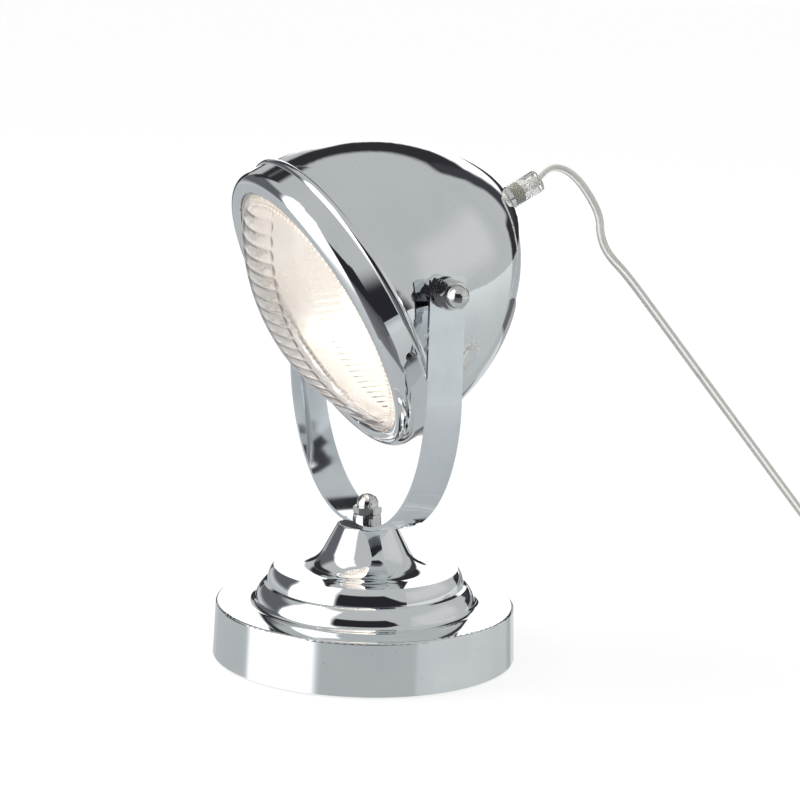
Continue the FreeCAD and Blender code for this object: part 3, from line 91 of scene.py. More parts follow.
# %% [markdown]
# ## The cord's line
# The real cord is a clear flat twin lead, 4.6 mm wide, that leaves the clear grip behind the
# head, bends down under its own weight and runs along the table to an in-line switch. What the
# picture doesn't show is wound into a coil. A NURBS spline steered by a few route points gives
# the easy curve that a soft lead takes; a polyline would look like bent wire.

# %% A smooth line from route points
STEPS_PER_POINT = 6


def make_piece(name, mesh, material=None):
    piece = bpy.data.objects.new(name, mesh)
    scene.collection.objects.link(piece)
    if material is not None:
        mesh.materials.append(material)
    return piece


def spline_points(route):
    """The points that Blender draws along a NURBS spline with these control points."""
    curve = bpy.data.curves.new("route", "CURVE")
    curve.dimensions = "3D"
    spline = curve.splines.new("NURBS")
    spline.points.add(len(route) - 1)
    for point, place in zip(spline.points, route):
        point.co = (place[0] * MM, place[1] * MM, place[2] * MM, 1)
    spline.order_u = 3
    spline.use_endpoint_u = True
    spline.resolution_u = STEPS_PER_POINT
    holder = make_piece("route", curve)
    bpy.context.view_layer.update()
    graph = bpy.context.evaluated_depsgraph_get()
    line = bpy.data.meshes.new_from_object(holder.evaluated_get(graph))
    points = [vertex.co.copy() for vertex in line.vertices]
    bpy.data.objects.remove(holder)
    bpy.data.meshes.remove(line)
    bpy.data.curves.remove(curve)
    return points


def line_length(points):
    return sum((b - a).length for a, b in zip(points, points[1:]))


# %% The route's points, in millimetres
DROP_ROUTE = [
    (0, 92.895, 248.677), (0, 98.2, 255.3), (0, 107.4, 255.6), (0, 117.0, 249.6),
    (0, 126.0, 238.6), (0.2, 131.6, 228.6), (0.2, 132.1, 219.4), (0, 137.0, 208.8),
    (0, 149.8, 197.0), (-0.5, 170.0, 174.0), (0, 201.0, 138.0), (1, 240.0, 92.4),
    (1, 272, 55.6), (0.4, 295, 30.0), (0, 313, 13.2), (0, 328, 4.6), (0.6, 342, 2.3),
    (3.6, 354.6, 2.3), (12.4, 364.4, 3.0), (24.4, 369.4, 4.9), (36.6, 370, 5.5),
    (48, 370, 5.5)]
RUN_ROUTE = [
    (108, 370, 5.5), (120.2, 370, 5.5), (131.9, 367.6, 4.6), (141.6, 360.6, 3.4),
    (147.6, 349.8, 3.0), (149.8, 337.4, 3.0), (149.7, 325.0, 3.0), (149.7, 309.6, 3.0)]
COIL_CENTRE = (112, 305)
COIL_INNER = 17.4
COIL_PITCH = 5.8
TURNS_IN, TURNS_UP, TURNS_OUT = 3.5, 0.5, 3.25
LOW, HIGH = 3.0, 8.8
POINTS_PER_TURN = 16
PLUG_LINE, RELIEF_END = 268.75, 106

# %% The coil's turns are more points of the same spline
def coil_route():
    pull = math.cos(math.pi / POINTS_PER_TURN)
    total = TURNS_IN + TURNS_UP + TURNS_OUT
    points = []
    for step in range(1, int(total * POINTS_PER_TURN) + 1):
        turn = step / POINTS_PER_TURN
        if turn <= TURNS_IN:
            radius, height = COIL_INNER + COIL_PITCH * (TURNS_IN - turn), LOW
        elif turn <= TURNS_IN + TURNS_UP:
            share = (turn - TURNS_IN) / TURNS_UP
            radius, height = COIL_INNER, LOW + (HIGH - LOW) * share
        else:
            radius = COIL_INNER + COIL_PITCH * (turn - TURNS_IN - TURNS_UP)
            height = HIGH
        angle = -2 * math.pi * turn
        points.append((COIL_CENTRE[0] + radius / pull * math.cos(angle),
                       COIL_CENTRE[1] + radius / pull * math.sin(angle), height))
    last = points[-1]
    points[-1] = (last[0], PLUG_LINE, HIGH)
    return points + [(RELIEF_END, PLUG_LINE, HIGH)]


drop_line = spline_points(DROP_ROUTE)
coil_line = spline_points(RUN_ROUTE + coil_route())
print("drop", round(line_length(drop_line), 4), "m; run and coil",
      round(line_length(coil_line), 4), "m in", len(coil_line), "points")

# %% [markdown]
# ## The cord's body
# Flat twin lead is two round wires side by side in one clear skin, so its section is a figure of
# eight. The section is carried along the line point by point, and a slow twist turns the flat
# side, as the real lead does where it hangs. A UV map records how far along and how far round
# each point is, so the material can follow the surface.

# %% Carry a figure of eight along a line
LOBE_RADIUS, LOBE_OFFSET = 1.35 * MM, 0.95 * MM
LOBE_STEPS = 10


def twin_section():
    """Places (across, through) round the lead's section."""
    reach = math.pi - math.acos(LOBE_OFFSET / LOBE_RADIUS)
    places = []
    for side in (1, -1):
        for step in range(LOBE_STEPS):
            angle = -reach + 2 * reach * (step + 0.5) / LOBE_STEPS
            places.append((side * (LOBE_OFFSET + LOBE_RADIUS * math.cos(angle)),
                           side * LOBE_RADIUS * math.sin(angle)))
    return places


def carry_section(name, line, twist, material):
    section = twin_section()
    mesh = bpy.data.meshes.new(name)
    work = bmesh.new()
    rings, travelled = [], 0.0
    for index, point in enumerate(line):
        ahead = line[min(index + 1, len(line) - 1)]
        behind = line[max(index - 1, 0)]
        along = (ahead - behind).normalized()
        flat = along.cross(Vector((0, 0, 1))).normalized()
        edge = flat.cross(along)
        angle = twist(travelled)
        across = flat * math.cos(angle) + edge * math.sin(angle)
        through = along.cross(across)
        rings.append([work.verts.new(point + across * a + through * b) for a, b in section])
        if index + 1 < len(line):
            travelled += (line[index + 1] - point).length
    uv = work.loops.layers.uv.new("lead")
    count = len(section)
    for row, (one, two) in enumerate(zip(rings, rings[1:])):
        for k in range(count):
            n = (k + 1) % count
            face = work.faces.new((one[k], one[n], two[n], two[k]))
            face.smooth = True
            spots = [(row, k), (row, k + 1), (row + 1, k + 1), (row + 1, k)]
            for loop, (r, c) in zip(face.loops, spots):
                loop[uv].uv = (c / count, r / len(rings))
    work.faces.new(rings[0])
    work.faces.new(list(reversed(rings[-1])))
    bmesh.ops.recalc_face_normals(work, faces=work.faces)
    work.to_mesh(mesh)
    work.free()
    return make_piece(name, mesh, material)


def ease(value, start, end):
    share = min(max((value - start) / (end - start), 0), 1)
    return share * share * (3 - 2 * share)


# %% [markdown]
# ## Node helpers
# Every finish below is a small graph of nodes. A few helpers keep the cells short: they place a
# node and fill its inputs, work out a sum or a length, make a soft step or an area with soft
# edges, and blend two colours.

# %% Helpers for node graphs
def add(tree, kind, inputs=None, **settings):
    made = tree.nodes.new(kind)
    for key, value in settings.items():
        setattr(made, key, value)
    for key, value in (inputs or {}).items():
        socket = made.inputs[key]
        if isinstance(value, bpy.types.NodeSocket):
            tree.links.new(value, socket)
        else:
            socket.default_value = value
    return made


def math_node(tree, operation, one, two=0.0, three=0.0):
    return add(tree, "ShaderNodeMath", {0: one, 1: two, 2: three}, operation=operation).outputs[0]


def length_node(tree, one, two):
    """The length of the slope over two sides at right angles."""
    return math_node(tree, "SQRT", math_node(
        tree, "ADD", math_node(tree, "MULTIPLY", one, one), math_node(tree, "MULTIPLY", two, two)))


def fade(tree, value, start, end, high=1.0):
    """A soft step: 0 before start, high after end."""
    made = add(tree, "ShaderNodeMapRange", {"Value": value, "From Min": start, "From Max": end,
                                            "To Max": high}, interpolation_type="SMOOTHSTEP")
    return made.outputs["Result"]


def soft_area(tree, steps):
    """1 where every soft step (value, start, end) is past its end, and 0 outside."""
    mask = fade(tree, *steps[0])
    for step in steps[1:]:
        mask = math_node(tree, "MULTIPLY", mask, fade(tree, *step))
    return mask


def blend_colours(tree, factor, one, two):
    made = add(tree, "ShaderNodeMix", data_type="RGBA")
    for index, value in ((0, factor), (6, one), (7, two)):
        if isinstance(value, bpy.types.NodeSocket):
            tree.links.new(value, made.inputs[index])
        elif index:
            made.inputs[index].default_value = (*value, 1)
        else:
            made.inputs[index].default_value = value
    return made.outputs[2]


# %% [markdown]
# ## The studio
# Chrome has no colour of its own: what we see on it is the room. On the real lamp one can read a
# pale tent, a white softbox to the left, a dark opening round the camera, and a bright window
# behind with dark on both sides. Those are painted on the world by direction, with soft edges,
# and only glossy rays see them. Plain surfaces get an even light, and the camera sees white.

# %% The room that the chrome reflects
DARK = (0.03, 0.03, 0.035)
ROOM_GREY = (0.50, 0.52, 0.525)
SLANT = 0.71

world = bpy.data.worlds.new("studio")
scene.world = world
world.use_nodes = True
room = world.node_tree
room.nodes.clear()

direction = add(room, "ShaderNodeTexCoord").outputs["Generated"]
parts = add(room, "ShaderNodeSeparateXYZ", {0: direction})
azimuth = math_node(room, "MULTIPLY", math_node(
    room, "ARCTAN2", parts.outputs["Y"], parts.outputs["X"]), math.degrees(1))
elevation = math_node(room, "MULTIPLY", math_node(
    room, "ARCSINE", parts.outputs["Z"]), math.degrees(1))
slanted = math_node(room, "ADD", azimuth, math_node(room, "MULTIPLY", elevation, SLANT))

# name, azimuth from and to, elevation from and to, softness, colour, slanted right edge
PANELS = [
    ("right wall", 30, 90, 8, 36, 8, (0.62, 0.63, 0.63), False),
    ("softbox", -122, -62, -25, 62, 4, (1.45, 1.46, 1.48), False),
    ("softbox, lower part", -122, -62, -3, 22, 3, (2.6, 2.6, 2.65), False),
    ("camera opening", -58, 25, -35, 35, 2, (0.022, 0.022, 0.028), True),
    ("left rear wall", -181, -124, 3, 36, 5, (0.12, 0.125, 0.14), False),
    ("rear curtain", 116, 181, 26, 46, 3, DARK, False),
    ("curtain's left end", -181, -166, 20, 50, 3, DARK, False),
    ("window", 129, 166, -11, 27, 2, (1.25, 1.26, 1.28), False),
    ("dark left of the window", 164, 181, -30, 11, 1.5, DARK, False),
    ("dark right of the window", 110, 146, -30, 11, 1.5, DARK, False),
    ("window frame", 117, 128, 4, 45, 2, (0.05, 0.05, 0.06), False)]
look = ROOM_GREY
for label, west, east, low, high, soft, colour, slant in PANELS:
    east_edge = slanted if slant else azimuth
    mask = soft_area(room, [
        (azimuth, west - soft, west + soft), (east_edge, east + soft, east - soft),
        (elevation, low - soft, low + soft), (elevation, high + soft, high - soft)])
    look = blend_colours(room, mask, look, colour)
print("panels", [panel[0] for panel in PANELS])

# %% Which rays see what
PLAIN_LEVEL = 0.62
path = add(room, "ShaderNodeLightPath")
seen_white = math_node(room, "MAXIMUM", path.outputs["Is Camera Ray"],
                       path.outputs["Is Transmission Ray"])
plain = add(room, "ShaderNodeBackground", {"Color": (1, 1, 1, 1), "Strength": PLAIN_LEVEL})
panels = add(room, "ShaderNodeBackground", {"Color": look, "Strength": 1.0})
white = add(room, "ShaderNodeBackground", {"Color": (1, 1, 1, 1), "Strength": 1.0})
glossy = add(room, "ShaderNodeMixShader", {0: path.outputs["Is Glossy Ray"],
                                           1: plain.outputs[0], 2: panels.outputs[0]})
shown = add(room, "ShaderNodeMixShader", {0: seen_white, 1: glossy.outputs[0],
                                          2: white.outputs[0]})
add(room, "ShaderNodeOutputWorld", {"Surface": shown.outputs[0]})
world.cycles.sampling_method = "AUTOMATIC"
print("world", len(room.nodes), "nodes")

# %% [markdown]
# ## Floor and lamp
# One wide, soft lamp from the upper left gives the plastics and the felt their shape; the
# chrome doesn't see it. The floor is pale: to the camera it adds light of its own, so that it
# comes out white and still keeps the object's soft shadow. To the chrome it is a table top with
# an edge: pale near the lamp, dark past its front and rear edges, and bright again where the
# window stands behind it.

# %% Floor
FLOOR_GLOW, FLOOR_GREY = 0.80, 0.30
BEARING_SOFT, DISTANCE_SOFT = 2, 0.02
FLOOR_DROP, FLOOR_HALF = 0.0005, 9.0


def new_material(name):
    material = bpy.data.materials.new(name)
    material.use_nodes = True
    material.node_tree.nodes.clear()
    return material, material.node_tree


floor_paint, tree = new_material("pale_floor")
path = add(tree, "ShaderNodeLightPath")
glow = add(tree, "ShaderNodeEmission", {"Color": (1, 1, 1, 1), "Strength": FLOOR_GLOW})
matte = add(tree, "ShaderNodeBsdfDiffuse", {"Color": (FLOOR_GREY, FLOOR_GREY, FLOOR_GREY, 1)})
to_camera = add(tree, "ShaderNodeAddShader", {0: glow.outputs[0], 1: matte.outputs[0]})
spot = add(tree, "ShaderNodeSeparateXYZ",
           {0: add(tree, "ShaderNodeTexCoord").outputs["Object"]})
away = length_node(tree, spot.outputs["X"], spot.outputs["Y"])
bearing = math_node(tree, "MULTIPLY", math_node(
    tree, "ARCTAN2", spot.outputs["Y"], spot.outputs["X"]), math.degrees(1))

# name, bearing from and to, distance from and to in metres, colour
TABLE_ZONES = [
    ("dark past the front edge", -60, 18, 0.24, 20, (0.02, 0.02, 0.028)),
    ("dark past the rear edge", 110, 181, 0.60, 0.98, DARK),
    ("dark cloth behind, left", 161, 181, 0.17, 20, DARK),
    ("dark cloth behind, right", 120, 147, 0.17, 0.36, DARK),
    ("window on the table", 129, 161, 0.98, 20, (1.15, 1.16, 1.18))]
table_look = (0.345, 0.365, 0.375)
for label, west, east, near, far, colour in TABLE_ZONES:
    mask = soft_area(tree, [
        (bearing, west - BEARING_SOFT, west + BEARING_SOFT),
        (bearing, east + BEARING_SOFT, east - BEARING_SOFT),
        (away, near - DISTANCE_SOFT, near + DISTANCE_SOFT),
        (away, far + DISTANCE_SOFT, far - DISTANCE_SOFT)])
    table_look = blend_colours(tree, mask, table_look, colour)
sheen_floor = add(tree, "ShaderNodeBsdfPrincipled", {
    "Base Color": (0.16, 0.165, 0.17, 1), "Roughness": 0.14, "IOR": 1.5,
    "Emission Color": table_look, "Emission Strength": 1.0})
in_mirror = add(tree, "ShaderNodeMixShader", {0: path.outputs["Is Camera Ray"],
                                              1: sheen_floor.outputs[0],
                                              2: to_camera.outputs[0]})
add(tree, "ShaderNodeOutputMaterial", {"Surface": in_mirror.outputs[0]})

floor_mesh = bpy.data.meshes.new("floor")
floor_mesh.from_pydata([(x, y, -FLOOR_DROP) for x, y in (
    (-FLOOR_HALF, -FLOOR_HALF), (FLOOR_HALF, -FLOOR_HALF), (FLOOR_HALF, FLOOR_HALF),
    (-FLOOR_HALF, FLOOR_HALF))], [], [(0, 1, 2, 3)])
floor = make_piece("floor", floor_mesh, floor_paint)
print("floor", [zone[0] for zone in TABLE_ZONES])

# %% Lamp
LAMP_PLACE, LAMP_TARGET = Vector((-0.7, -1.3, 1.9)), Vector((0, 0, 0.15))

softbox = bpy.data.lights.new("softbox", "AREA")
softbox.shape = "DISK"
softbox.size = 1.6
softbox.energy = 16
softbox_holder = bpy.data.objects.new("softbox", softbox)
scene.collection.objects.link(softbox_holder)
softbox_holder.location = LAMP_PLACE
softbox_holder.rotation_euler = (LAMP_PLACE - LAMP_TARGET).to_track_quat("Z", "Y").to_euler()
softbox_holder.visible_glossy = False
scene.view_settings.view_transform = "Standard"
print("lamp", softbox.energy, "W")

# %% [markdown]
# ## Effects that several finishes share
# Real surfaces are never even. Two small groups give the unevenness: a handled surface
# (clouds, fine grain and a few specks) and turned metal (rings along an axis). Each finish sets
# its own sizes.

# %% Group: a handled surface
def new_group(name, inputs, outputs):
    group = bpy.data.node_groups.new(name, "ShaderNodeTree")
    for label, kind, value in inputs:
        socket = group.interface.new_socket(label, in_out="INPUT", socket_type=kind)
        if value is not None:
            socket.default_value = value
    for label, kind in outputs:
        group.interface.new_socket(label, in_out="OUTPUT", socket_type=kind)
    return group, add(group, "NodeGroupInput"), add(group, "NodeGroupOutput")


FLOAT, VECTOR = "NodeSocketFloat", "NodeSocketVector"
CLOUD_EDGE, SPECK_EDGE = (0.38, 0.68), (0.10, 0.04)
SPECKS_PER_CLOUD = 6.0
handled, given, gives = new_group(
    "handled surface",
    [("Place", VECTOR, None), ("Cloud Scale", FLOAT, 30.0), ("Grain Scale", FLOAT, 900.0)],
    [("Cloud", FLOAT), ("Grain", FLOAT), ("Speck", FLOAT)])
clouds = add(handled, "ShaderNodeTexNoise", {
    "Vector": given.outputs["Place"], "Scale": given.outputs["Cloud Scale"],
    "Detail": 3.0, "Roughness": 0.55})
grain = add(handled, "ShaderNodeTexNoise", {
    "Vector": given.outputs["Place"], "Scale": given.outputs["Grain Scale"], "Detail": 4.0})
dots = add(handled, "ShaderNodeTexVoronoi", {
    "Vector": given.outputs["Place"],
    "Scale": math_node(handled, "MULTIPLY", given.outputs["Cloud Scale"], SPECKS_PER_CLOUD)})
handled.links.new(fade(handled, clouds.outputs["Fac"], *CLOUD_EDGE), gives.inputs["Cloud"])
handled.links.new(grain.outputs["Fac"], gives.inputs["Grain"])
handled.links.new(fade(handled, dots.outputs["Distance"], *SPECK_EDGE), gives.inputs["Speck"])

# %% Group: rings along an axis, as a thread leaves them
rings, given, gives = new_group(
    "turned rings", [("Along", FLOAT, 0.0), ("Pitch", FLOAT, 0.001)], [("Ridge", FLOAT)])
phase = math_node(rings, "DIVIDE", given.outputs["Along"], given.outputs["Pitch"])
wave = math_node(rings, "PINGPONG", phase, 0.5)
rings.links.new(math_node(rings, "MULTIPLY", wave, 2.0), gives.inputs["Ridge"])
print("groups", [group.name for group in bpy.data.node_groups])

# %% A finish: one Principled shader fed by the shared effects
def object_place(tree):
    return add(tree, "ShaderNodeTexCoord").outputs["Object"]


def place_group(tree, group, inputs):
    made = add(tree, "ShaderNodeGroup", node_tree=group)
    for key, value in inputs.items():
        if isinstance(value, bpy.types.NodeSocket):
            tree.links.new(value, made.inputs[key])
        else:
            made.inputs[key].default_value = value
    return made


def surface_marks(tree, cloud_scale, grain_scale, place=None):
    """The handled surface at these scales, laid out by the place on the object."""
    if place is None:
        place = object_place(tree)
    return place_group(tree, handled, {"Place": place, "Cloud Scale": cloud_scale,
                                       "Grain Scale": grain_scale})


def close(tree, inputs, height, strength=0.2, distance=0.0002):
    """End a material: the Principled shader with these inputs, and a bump from height."""
    shader = add(tree, "ShaderNodeBsdfPrincipled", inputs)
    bump = add(tree, "ShaderNodeBump", {"Strength": strength, "Distance": distance,
                                        "Height": height})
    tree.links.new(bump.outputs["Normal"], shader.inputs["Normal"])
    add(tree, "ShaderNodeOutputMaterial", {"Surface": shader.outputs[0]})


FINISHES = {}

# %% [markdown]
# ## Chrome
# The base, the bucket and the ring are pressed steel with bright chrome plating. Its reflections
# are nearly sharp; what gives it away as metal and not a perfect mirror is a very slight wave of
# the pressed sheet, faint clouds where it was wiped, and pin-head specks.

# %% Chrome on pressed sheet, on the flat strip and on the fasteners
CHROME_GRAIN = 1400.0
SPECK_SHARE, SPECK_COLOUR = 0.5, (0.62, 0.63, 0.64)


def chrome_finish(name, colour, worn, rough, cloud_rough, wave_scale, wave_depth, cloud_scale):
    material, tree = new_material(name)
    place = object_place(tree)
    marks = surface_marks(tree, cloud_scale, CHROME_GRAIN, place)
    tone = blend_colours(tree, marks.outputs["Cloud"], colour, worn)
    specks = math_node(tree, "MULTIPLY", marks.outputs["Speck"], SPECK_SHARE)
    tone = blend_colours(tree, specks, tone, SPECK_COLOUR)
    roughness = math_node(tree, "MULTIPLY_ADD", marks.outputs["Cloud"], cloud_rough, rough)
    roughness = math_node(tree, "MULTIPLY_ADD", marks.outputs["Grain"], rough * 0.5, roughness)
    wave = add(tree, "ShaderNodeTexNoise", {"Vector": place, "Scale": wave_scale, "Detail": 1.0})
    close(tree, {"Metallic": 1.0, "Base Color": tone, "Roughness": roughness},
          wave.outputs["Fac"], 1.0, wave_depth)
    return material


FINISHES["chrome"] = chrome_finish(
    "bright_chrome", colour=(0.90, 0.91, 0.915), worn=(0.855, 0.87, 0.88), rough=0.022,
    cloud_rough=0.03, wave_scale=22.0, wave_depth=0.00007, cloud_scale=26.0)
strip_chrome = chrome_finish(
    "strip_chrome", colour=(0.90, 0.92, 0.94), worn=(0.83, 0.865, 0.89), rough=0.05,
    cloud_rough=0.05, wave_scale=60.0, wave_depth=0.00006, cloud_scale=45.0)
fastener_chrome = chrome_finish(
    "fastener_chrome", colour=(0.84, 0.83, 0.81), worn=(0.70, 0.69, 0.67), rough=0.07,
    cloud_rough=0.10, wave_scale=260.0, wave_depth=0.00004, cloud_scale=180.0)
print("chrome finishes", [m.name for m in bpy.data.materials if "chrome" in m.name])

# %% [markdown]
# ## The other metals
# Under the chrome are an iron weight, a zinc-plated plate and rod, brass terminals and, on the
# plug, nickelled pins. They are duller, so their colour comes from grain and staining more than
# from reflections.

# %% Iron, zinc, brass, the plug's pins, the trim screw and tungsten
STAIN_SHARE, STAIN_DARKER = 0.35, 0.6


def metal_finish(name, metallic, one, two, rough, rough_more, scales, depth):
    material, tree = new_material(name)
    marks = surface_marks(tree, *scales)
    tone = blend_colours(tree, marks.outputs["Cloud"], one, two)
    stain = math_node(tree, "MULTIPLY", marks.outputs["Grain"], STAIN_SHARE)
    tone = blend_colours(tree, stain, tone, tuple(part * STAIN_DARKER for part in two))
    roughness = math_node(tree, "MULTIPLY_ADD", marks.outputs["Cloud"], rough_more, rough)
    close(tree, {"Metallic": metallic, "Base Color": tone, "Roughness": roughness},
          marks.outputs["Grain"], 0.5, depth)
    return material


# slot: name, metallic, colour, stained colour, roughness, roughness added by stains,
# scales of clouds and grain, grain's depth
METALS = {
    "cast_iron": ("cast_iron", 0.6, (0.10, 0.10, 0.10), (0.06, 0.055, 0.05), 0.62, 0.2,
                  (40.0, 700.0), 0.0006),
    "zinc_steel": ("zinc_plate", 1.0, (0.68, 0.70, 0.72), (0.60, 0.61, 0.57), 0.24, 0.16,
                   (70.0, 1500.0), 0.00006),
    "brass": ("brass", 1.0, (0.78, 0.62, 0.32), (0.55, 0.41, 0.20), 0.22, 0.2,
              (160.0, 1800.0), 0.00005),
    "plug_metal": ("nickelled_pin", 1.0, (0.80, 0.79, 0.75), (0.70, 0.66, 0.56), 0.16, 0.14,
                   (150.0, 1600.0), 0.00004)}
FINISHES.update({slot: metal_finish(*settings) for slot, settings in METALS.items()})
dark_screw = metal_finish("browned_screw", 1.0, (0.34, 0.335, 0.33), (0.22, 0.215, 0.21),
                          0.2, 0.15, (260.0, 2200.0), 0.00005)
tungsten, tree = new_material("hot_filament")
marks = surface_marks(tree, cloud_scale=400.0, grain_scale=4000.0)
close(tree, {"Metallic": 1.0, "Roughness": 0.5, "Base Color": (0.6, 0.55, 0.5, 1),
             "Emission Color": blend_colours(tree, marks.outputs["Cloud"], (1, 0.72, 0.36),
                                             (1, 0.85, 0.6)),
             "Emission Strength": 14.0}, marks.outputs["Grain"])
FINISHES["tungsten"] = tungsten
print("metals", sorted(METALS), dark_screw.name, tungsten.name)

# %% [markdown]
# ## Soft and moulded materials
# Felt under the base, fibre and rubber rings, a dark phenolic lamp holder, and pale moulded
# plastics on the cord. Felt is a mat of crossing hairs: two stretched noises, one turned, give
# that better than a plain cloud.

# %% Felt
HAIR_TURNS, HAIR_STRETCH = (0.5, 2.1), (1.0, 7.0, 3.0)
felt, tree = new_material("base_felt")
place = object_place(tree)
hairs = []
for turn in HAIR_TURNS:
    stretched = add(tree, "ShaderNodeMapping", {"Vector": place, "Rotation": (0, 0, turn),
                                                "Scale": HAIR_STRETCH})
    hairs.append(add(tree, "ShaderNodeTexNoise", {"Vector": stretched.outputs[0],
                                                  "Scale": 520.0, "Detail": 5.0}).outputs["Fac"])
mat = math_node(tree, "MAXIMUM", hairs[0], hairs[1])
close(tree, {"Base Color": blend_colours(tree, fade(tree, mat, 0.45, 0.75), (0.018, 0.019, 0.02),
                                         (0.085, 0.085, 0.09)),
             "Roughness": 0.95, "Sheen Weight": 0.4}, mat, 0.8, 0.0008)
FINISHES["felt"] = felt
print("felt", len(hairs), "crossing noises")

# %% Moulded plastics, rubber, fibre and phenolic
DIRT_SHARE, DIRT_DARKER = 0.25, 0.7
GRAIN_ROUGHNESS = 0.18
THROUGH_DEPTH = 0.002


def moulded_finish(name, one, two, rough, scales, depth, through):
    material, tree = new_material(name)
    marks = surface_marks(tree, *scales)
    tone = blend_colours(tree, marks.outputs["Cloud"], one, two)
    dirt = math_node(tree, "MULTIPLY", marks.outputs["Speck"], DIRT_SHARE)
    tone = blend_colours(tree, dirt, tone, tuple(part * DIRT_DARKER for part in two))
    roughness = math_node(tree, "MULTIPLY_ADD", marks.outputs["Grain"], GRAIN_ROUGHNESS, rough)
    inputs = {"Base Color": tone, "Roughness": roughness}
    if through:
        inputs.update({"Subsurface Weight": through, "Subsurface Scale": THROUGH_DEPTH})
    close(tree, inputs, marks.outputs["Grain"], 0.35, depth)
    return material


# slot: name, colour, clouded colour, roughness, scales of clouds and grain, grain's depth,
# weight of the light that goes through
MOULDED = {
    "fibre": ("black_fibre", (0.045, 0.042, 0.042), (0.07, 0.062, 0.058), 0.6,
              (160.0, 1700.0), 0.0003, 0.0),
    "gasket_rubber": ("gasket_rubber", (0.03, 0.03, 0.032), (0.06, 0.06, 0.06), 0.6,
                      (120.0, 1300.0), 0.0003, 0.0),
    "holder_plastic": ("dark_phenolic", (0.035, 0.025, 0.02), (0.055, 0.035, 0.025), 0.3,
                       (90.0, 800.0), 0.0001, 0.0),
    "switch_plastic": ("switch_shell", (0.80, 0.80, 0.775), (0.74, 0.74, 0.71), 0.3,
                       (60.0, 1500.0), 0.00015, 0.15),
    "rocker_plastic": ("rocker_shell", (0.72, 0.72, 0.70), (0.66, 0.66, 0.63), 0.22,
                       (90.0, 1900.0), 0.0001, 0.0),
    "plug_plastic": ("plug_shell", (0.78, 0.78, 0.755), (0.71, 0.71, 0.68), 0.36,
                     (70.0, 1300.0), 0.0002, 0.1),
    "tie_plastic": ("tie_strap", (0.03, 0.03, 0.033), (0.06, 0.06, 0.065), 0.45,
                    (200.0, 2200.0), 0.0002, 0.0)}
FINISHES.update({slot: moulded_finish(*settings) for slot, settings in MOULDED.items()})
print("moulded", sorted(MOULDED))

# %% [markdown]
# ## Clear plastic and glass
# The grip is clear nylon that has gone a little grey, and the lead's skin is soft clear PVC
# in which the two tinned wires show as grey bands. The clear waist between them lets light
# through, which a painted highlight and a faint glow stand in for. The lens is pressed glass, lit
# warm from behind, and the lens and the lamp's mirror get a painted glow.

# %% The clear grip
clear, tree = new_material("clear_grip")
marks = surface_marks(tree, cloud_scale=240.0, grain_scale=1500.0)
close(tree, {"Base Color": blend_colours(tree, marks.outputs["Cloud"], (0.97, 0.97, 0.965),
                                         (0.91, 0.915, 0.90)),
             "Roughness": math_node(tree, "MULTIPLY_ADD", marks.outputs["Cloud"], 0.02, 0.01),
             "Metallic": 0.0, "Transmission Weight": 0.85, "IOR": 1.16},
      marks.outputs["Cloud"], 0.1, 0.0001)
FINISHES["clear_plastic"] = clear
print("clear grip", len(tree.nodes), "nodes")

# %% The lead's clear skin over its two wires
LOBE_HALF = 0.25
WAIST_EDGE, WAIST_GLOW = (0.03, 0.07), 0.35


def lead_finish(name, use_map):
    material, tree = new_material(name)
    marks = surface_marks(tree, cloud_scale=90.0, grain_scale=1200.0)
    tone = blend_colours(tree, marks.outputs["Cloud"], (0.94, 0.93, 0.87), (0.89, 0.88, 0.825))
    inputs = {}
    if use_map:
        spot = add(tree, "ShaderNodeUVMap", uv_map="lead").outputs[0]
        around = add(tree, "ShaderNodeSeparateXYZ", {0: spot}).outputs["X"]
        from_waist = math_node(tree, "PINGPONG", around, LOBE_HALF)
        wire = fade(tree, from_waist, *WAIST_EDGE)
        # Painted highlight: the waist between the wires is made whiter and given a faint glow.
        tone = blend_colours(tree, wire, (0.98, 0.98, 0.96), tone)
        inputs["Emission Color"] = blend_colours(tree, wire, (1.0, 1.0, 0.98), (0, 0, 0))
        inputs["Emission Strength"] = WAIST_GLOW
    inputs.update({
        "Base Color": tone, "Metallic": 0.0, "Transmission Weight": 0.15, "IOR": 1.35,
        "Roughness": math_node(tree, "MULTIPLY_ADD", marks.outputs["Cloud"], 0.1, 0.2)})
    close(tree, inputs, marks.outputs["Grain"], 0.05, 0.0001)
    return material


FINISHES["cord_plastic"] = lead_finish("lead_inside", False)
lead_skin = lead_finish("lead_skin", True)
print("lead", FINISHES["cord_plastic"].name, lead_skin.name)

# %% Glass bulb and its mirror
bulb, tree = new_material("lit_bulb")
marks = surface_marks(tree, cloud_scale=90.0, grain_scale=900.0)
close(tree, {"Base Color": (1, 0.95, 0.88, 1), "Roughness": 0.3,
             "Emission Color": blend_colours(tree, marks.outputs["Cloud"], (1, 0.80, 0.56),
                                             (1, 0.88, 0.70)),
             "Emission Strength": 3.0}, marks.outputs["Cloud"], 0.1)
FINISHES["bulb_glass"] = bulb

mirror, tree = new_material("lamp_mirror")
marks = surface_marks(tree, cloud_scale=45.0, grain_scale=600.0)
# Painted glow: the mirror's warm, clouded emission stands in for the bulb's light on it.
painted_mirror_glow = blend_colours(tree, marks.outputs["Cloud"], (1.0, 0.90, 0.80), (1.0, 0.84, 0.70))
close(tree, {"Metallic": 1.0, "Base Color": (0.93, 0.92, 0.90, 1), "Emission Color": painted_mirror_glow,
             "Roughness": math_node(tree, "MULTIPLY_ADD", marks.outputs["Cloud"], 0.1, 0.22),
             "Emission Strength": 0.31}, marks.outputs["Cloud"], 0.3, 0.0005)
FINISHES["reflector_mirror"] = mirror
print("behind the lens", bulb.name, mirror.name)

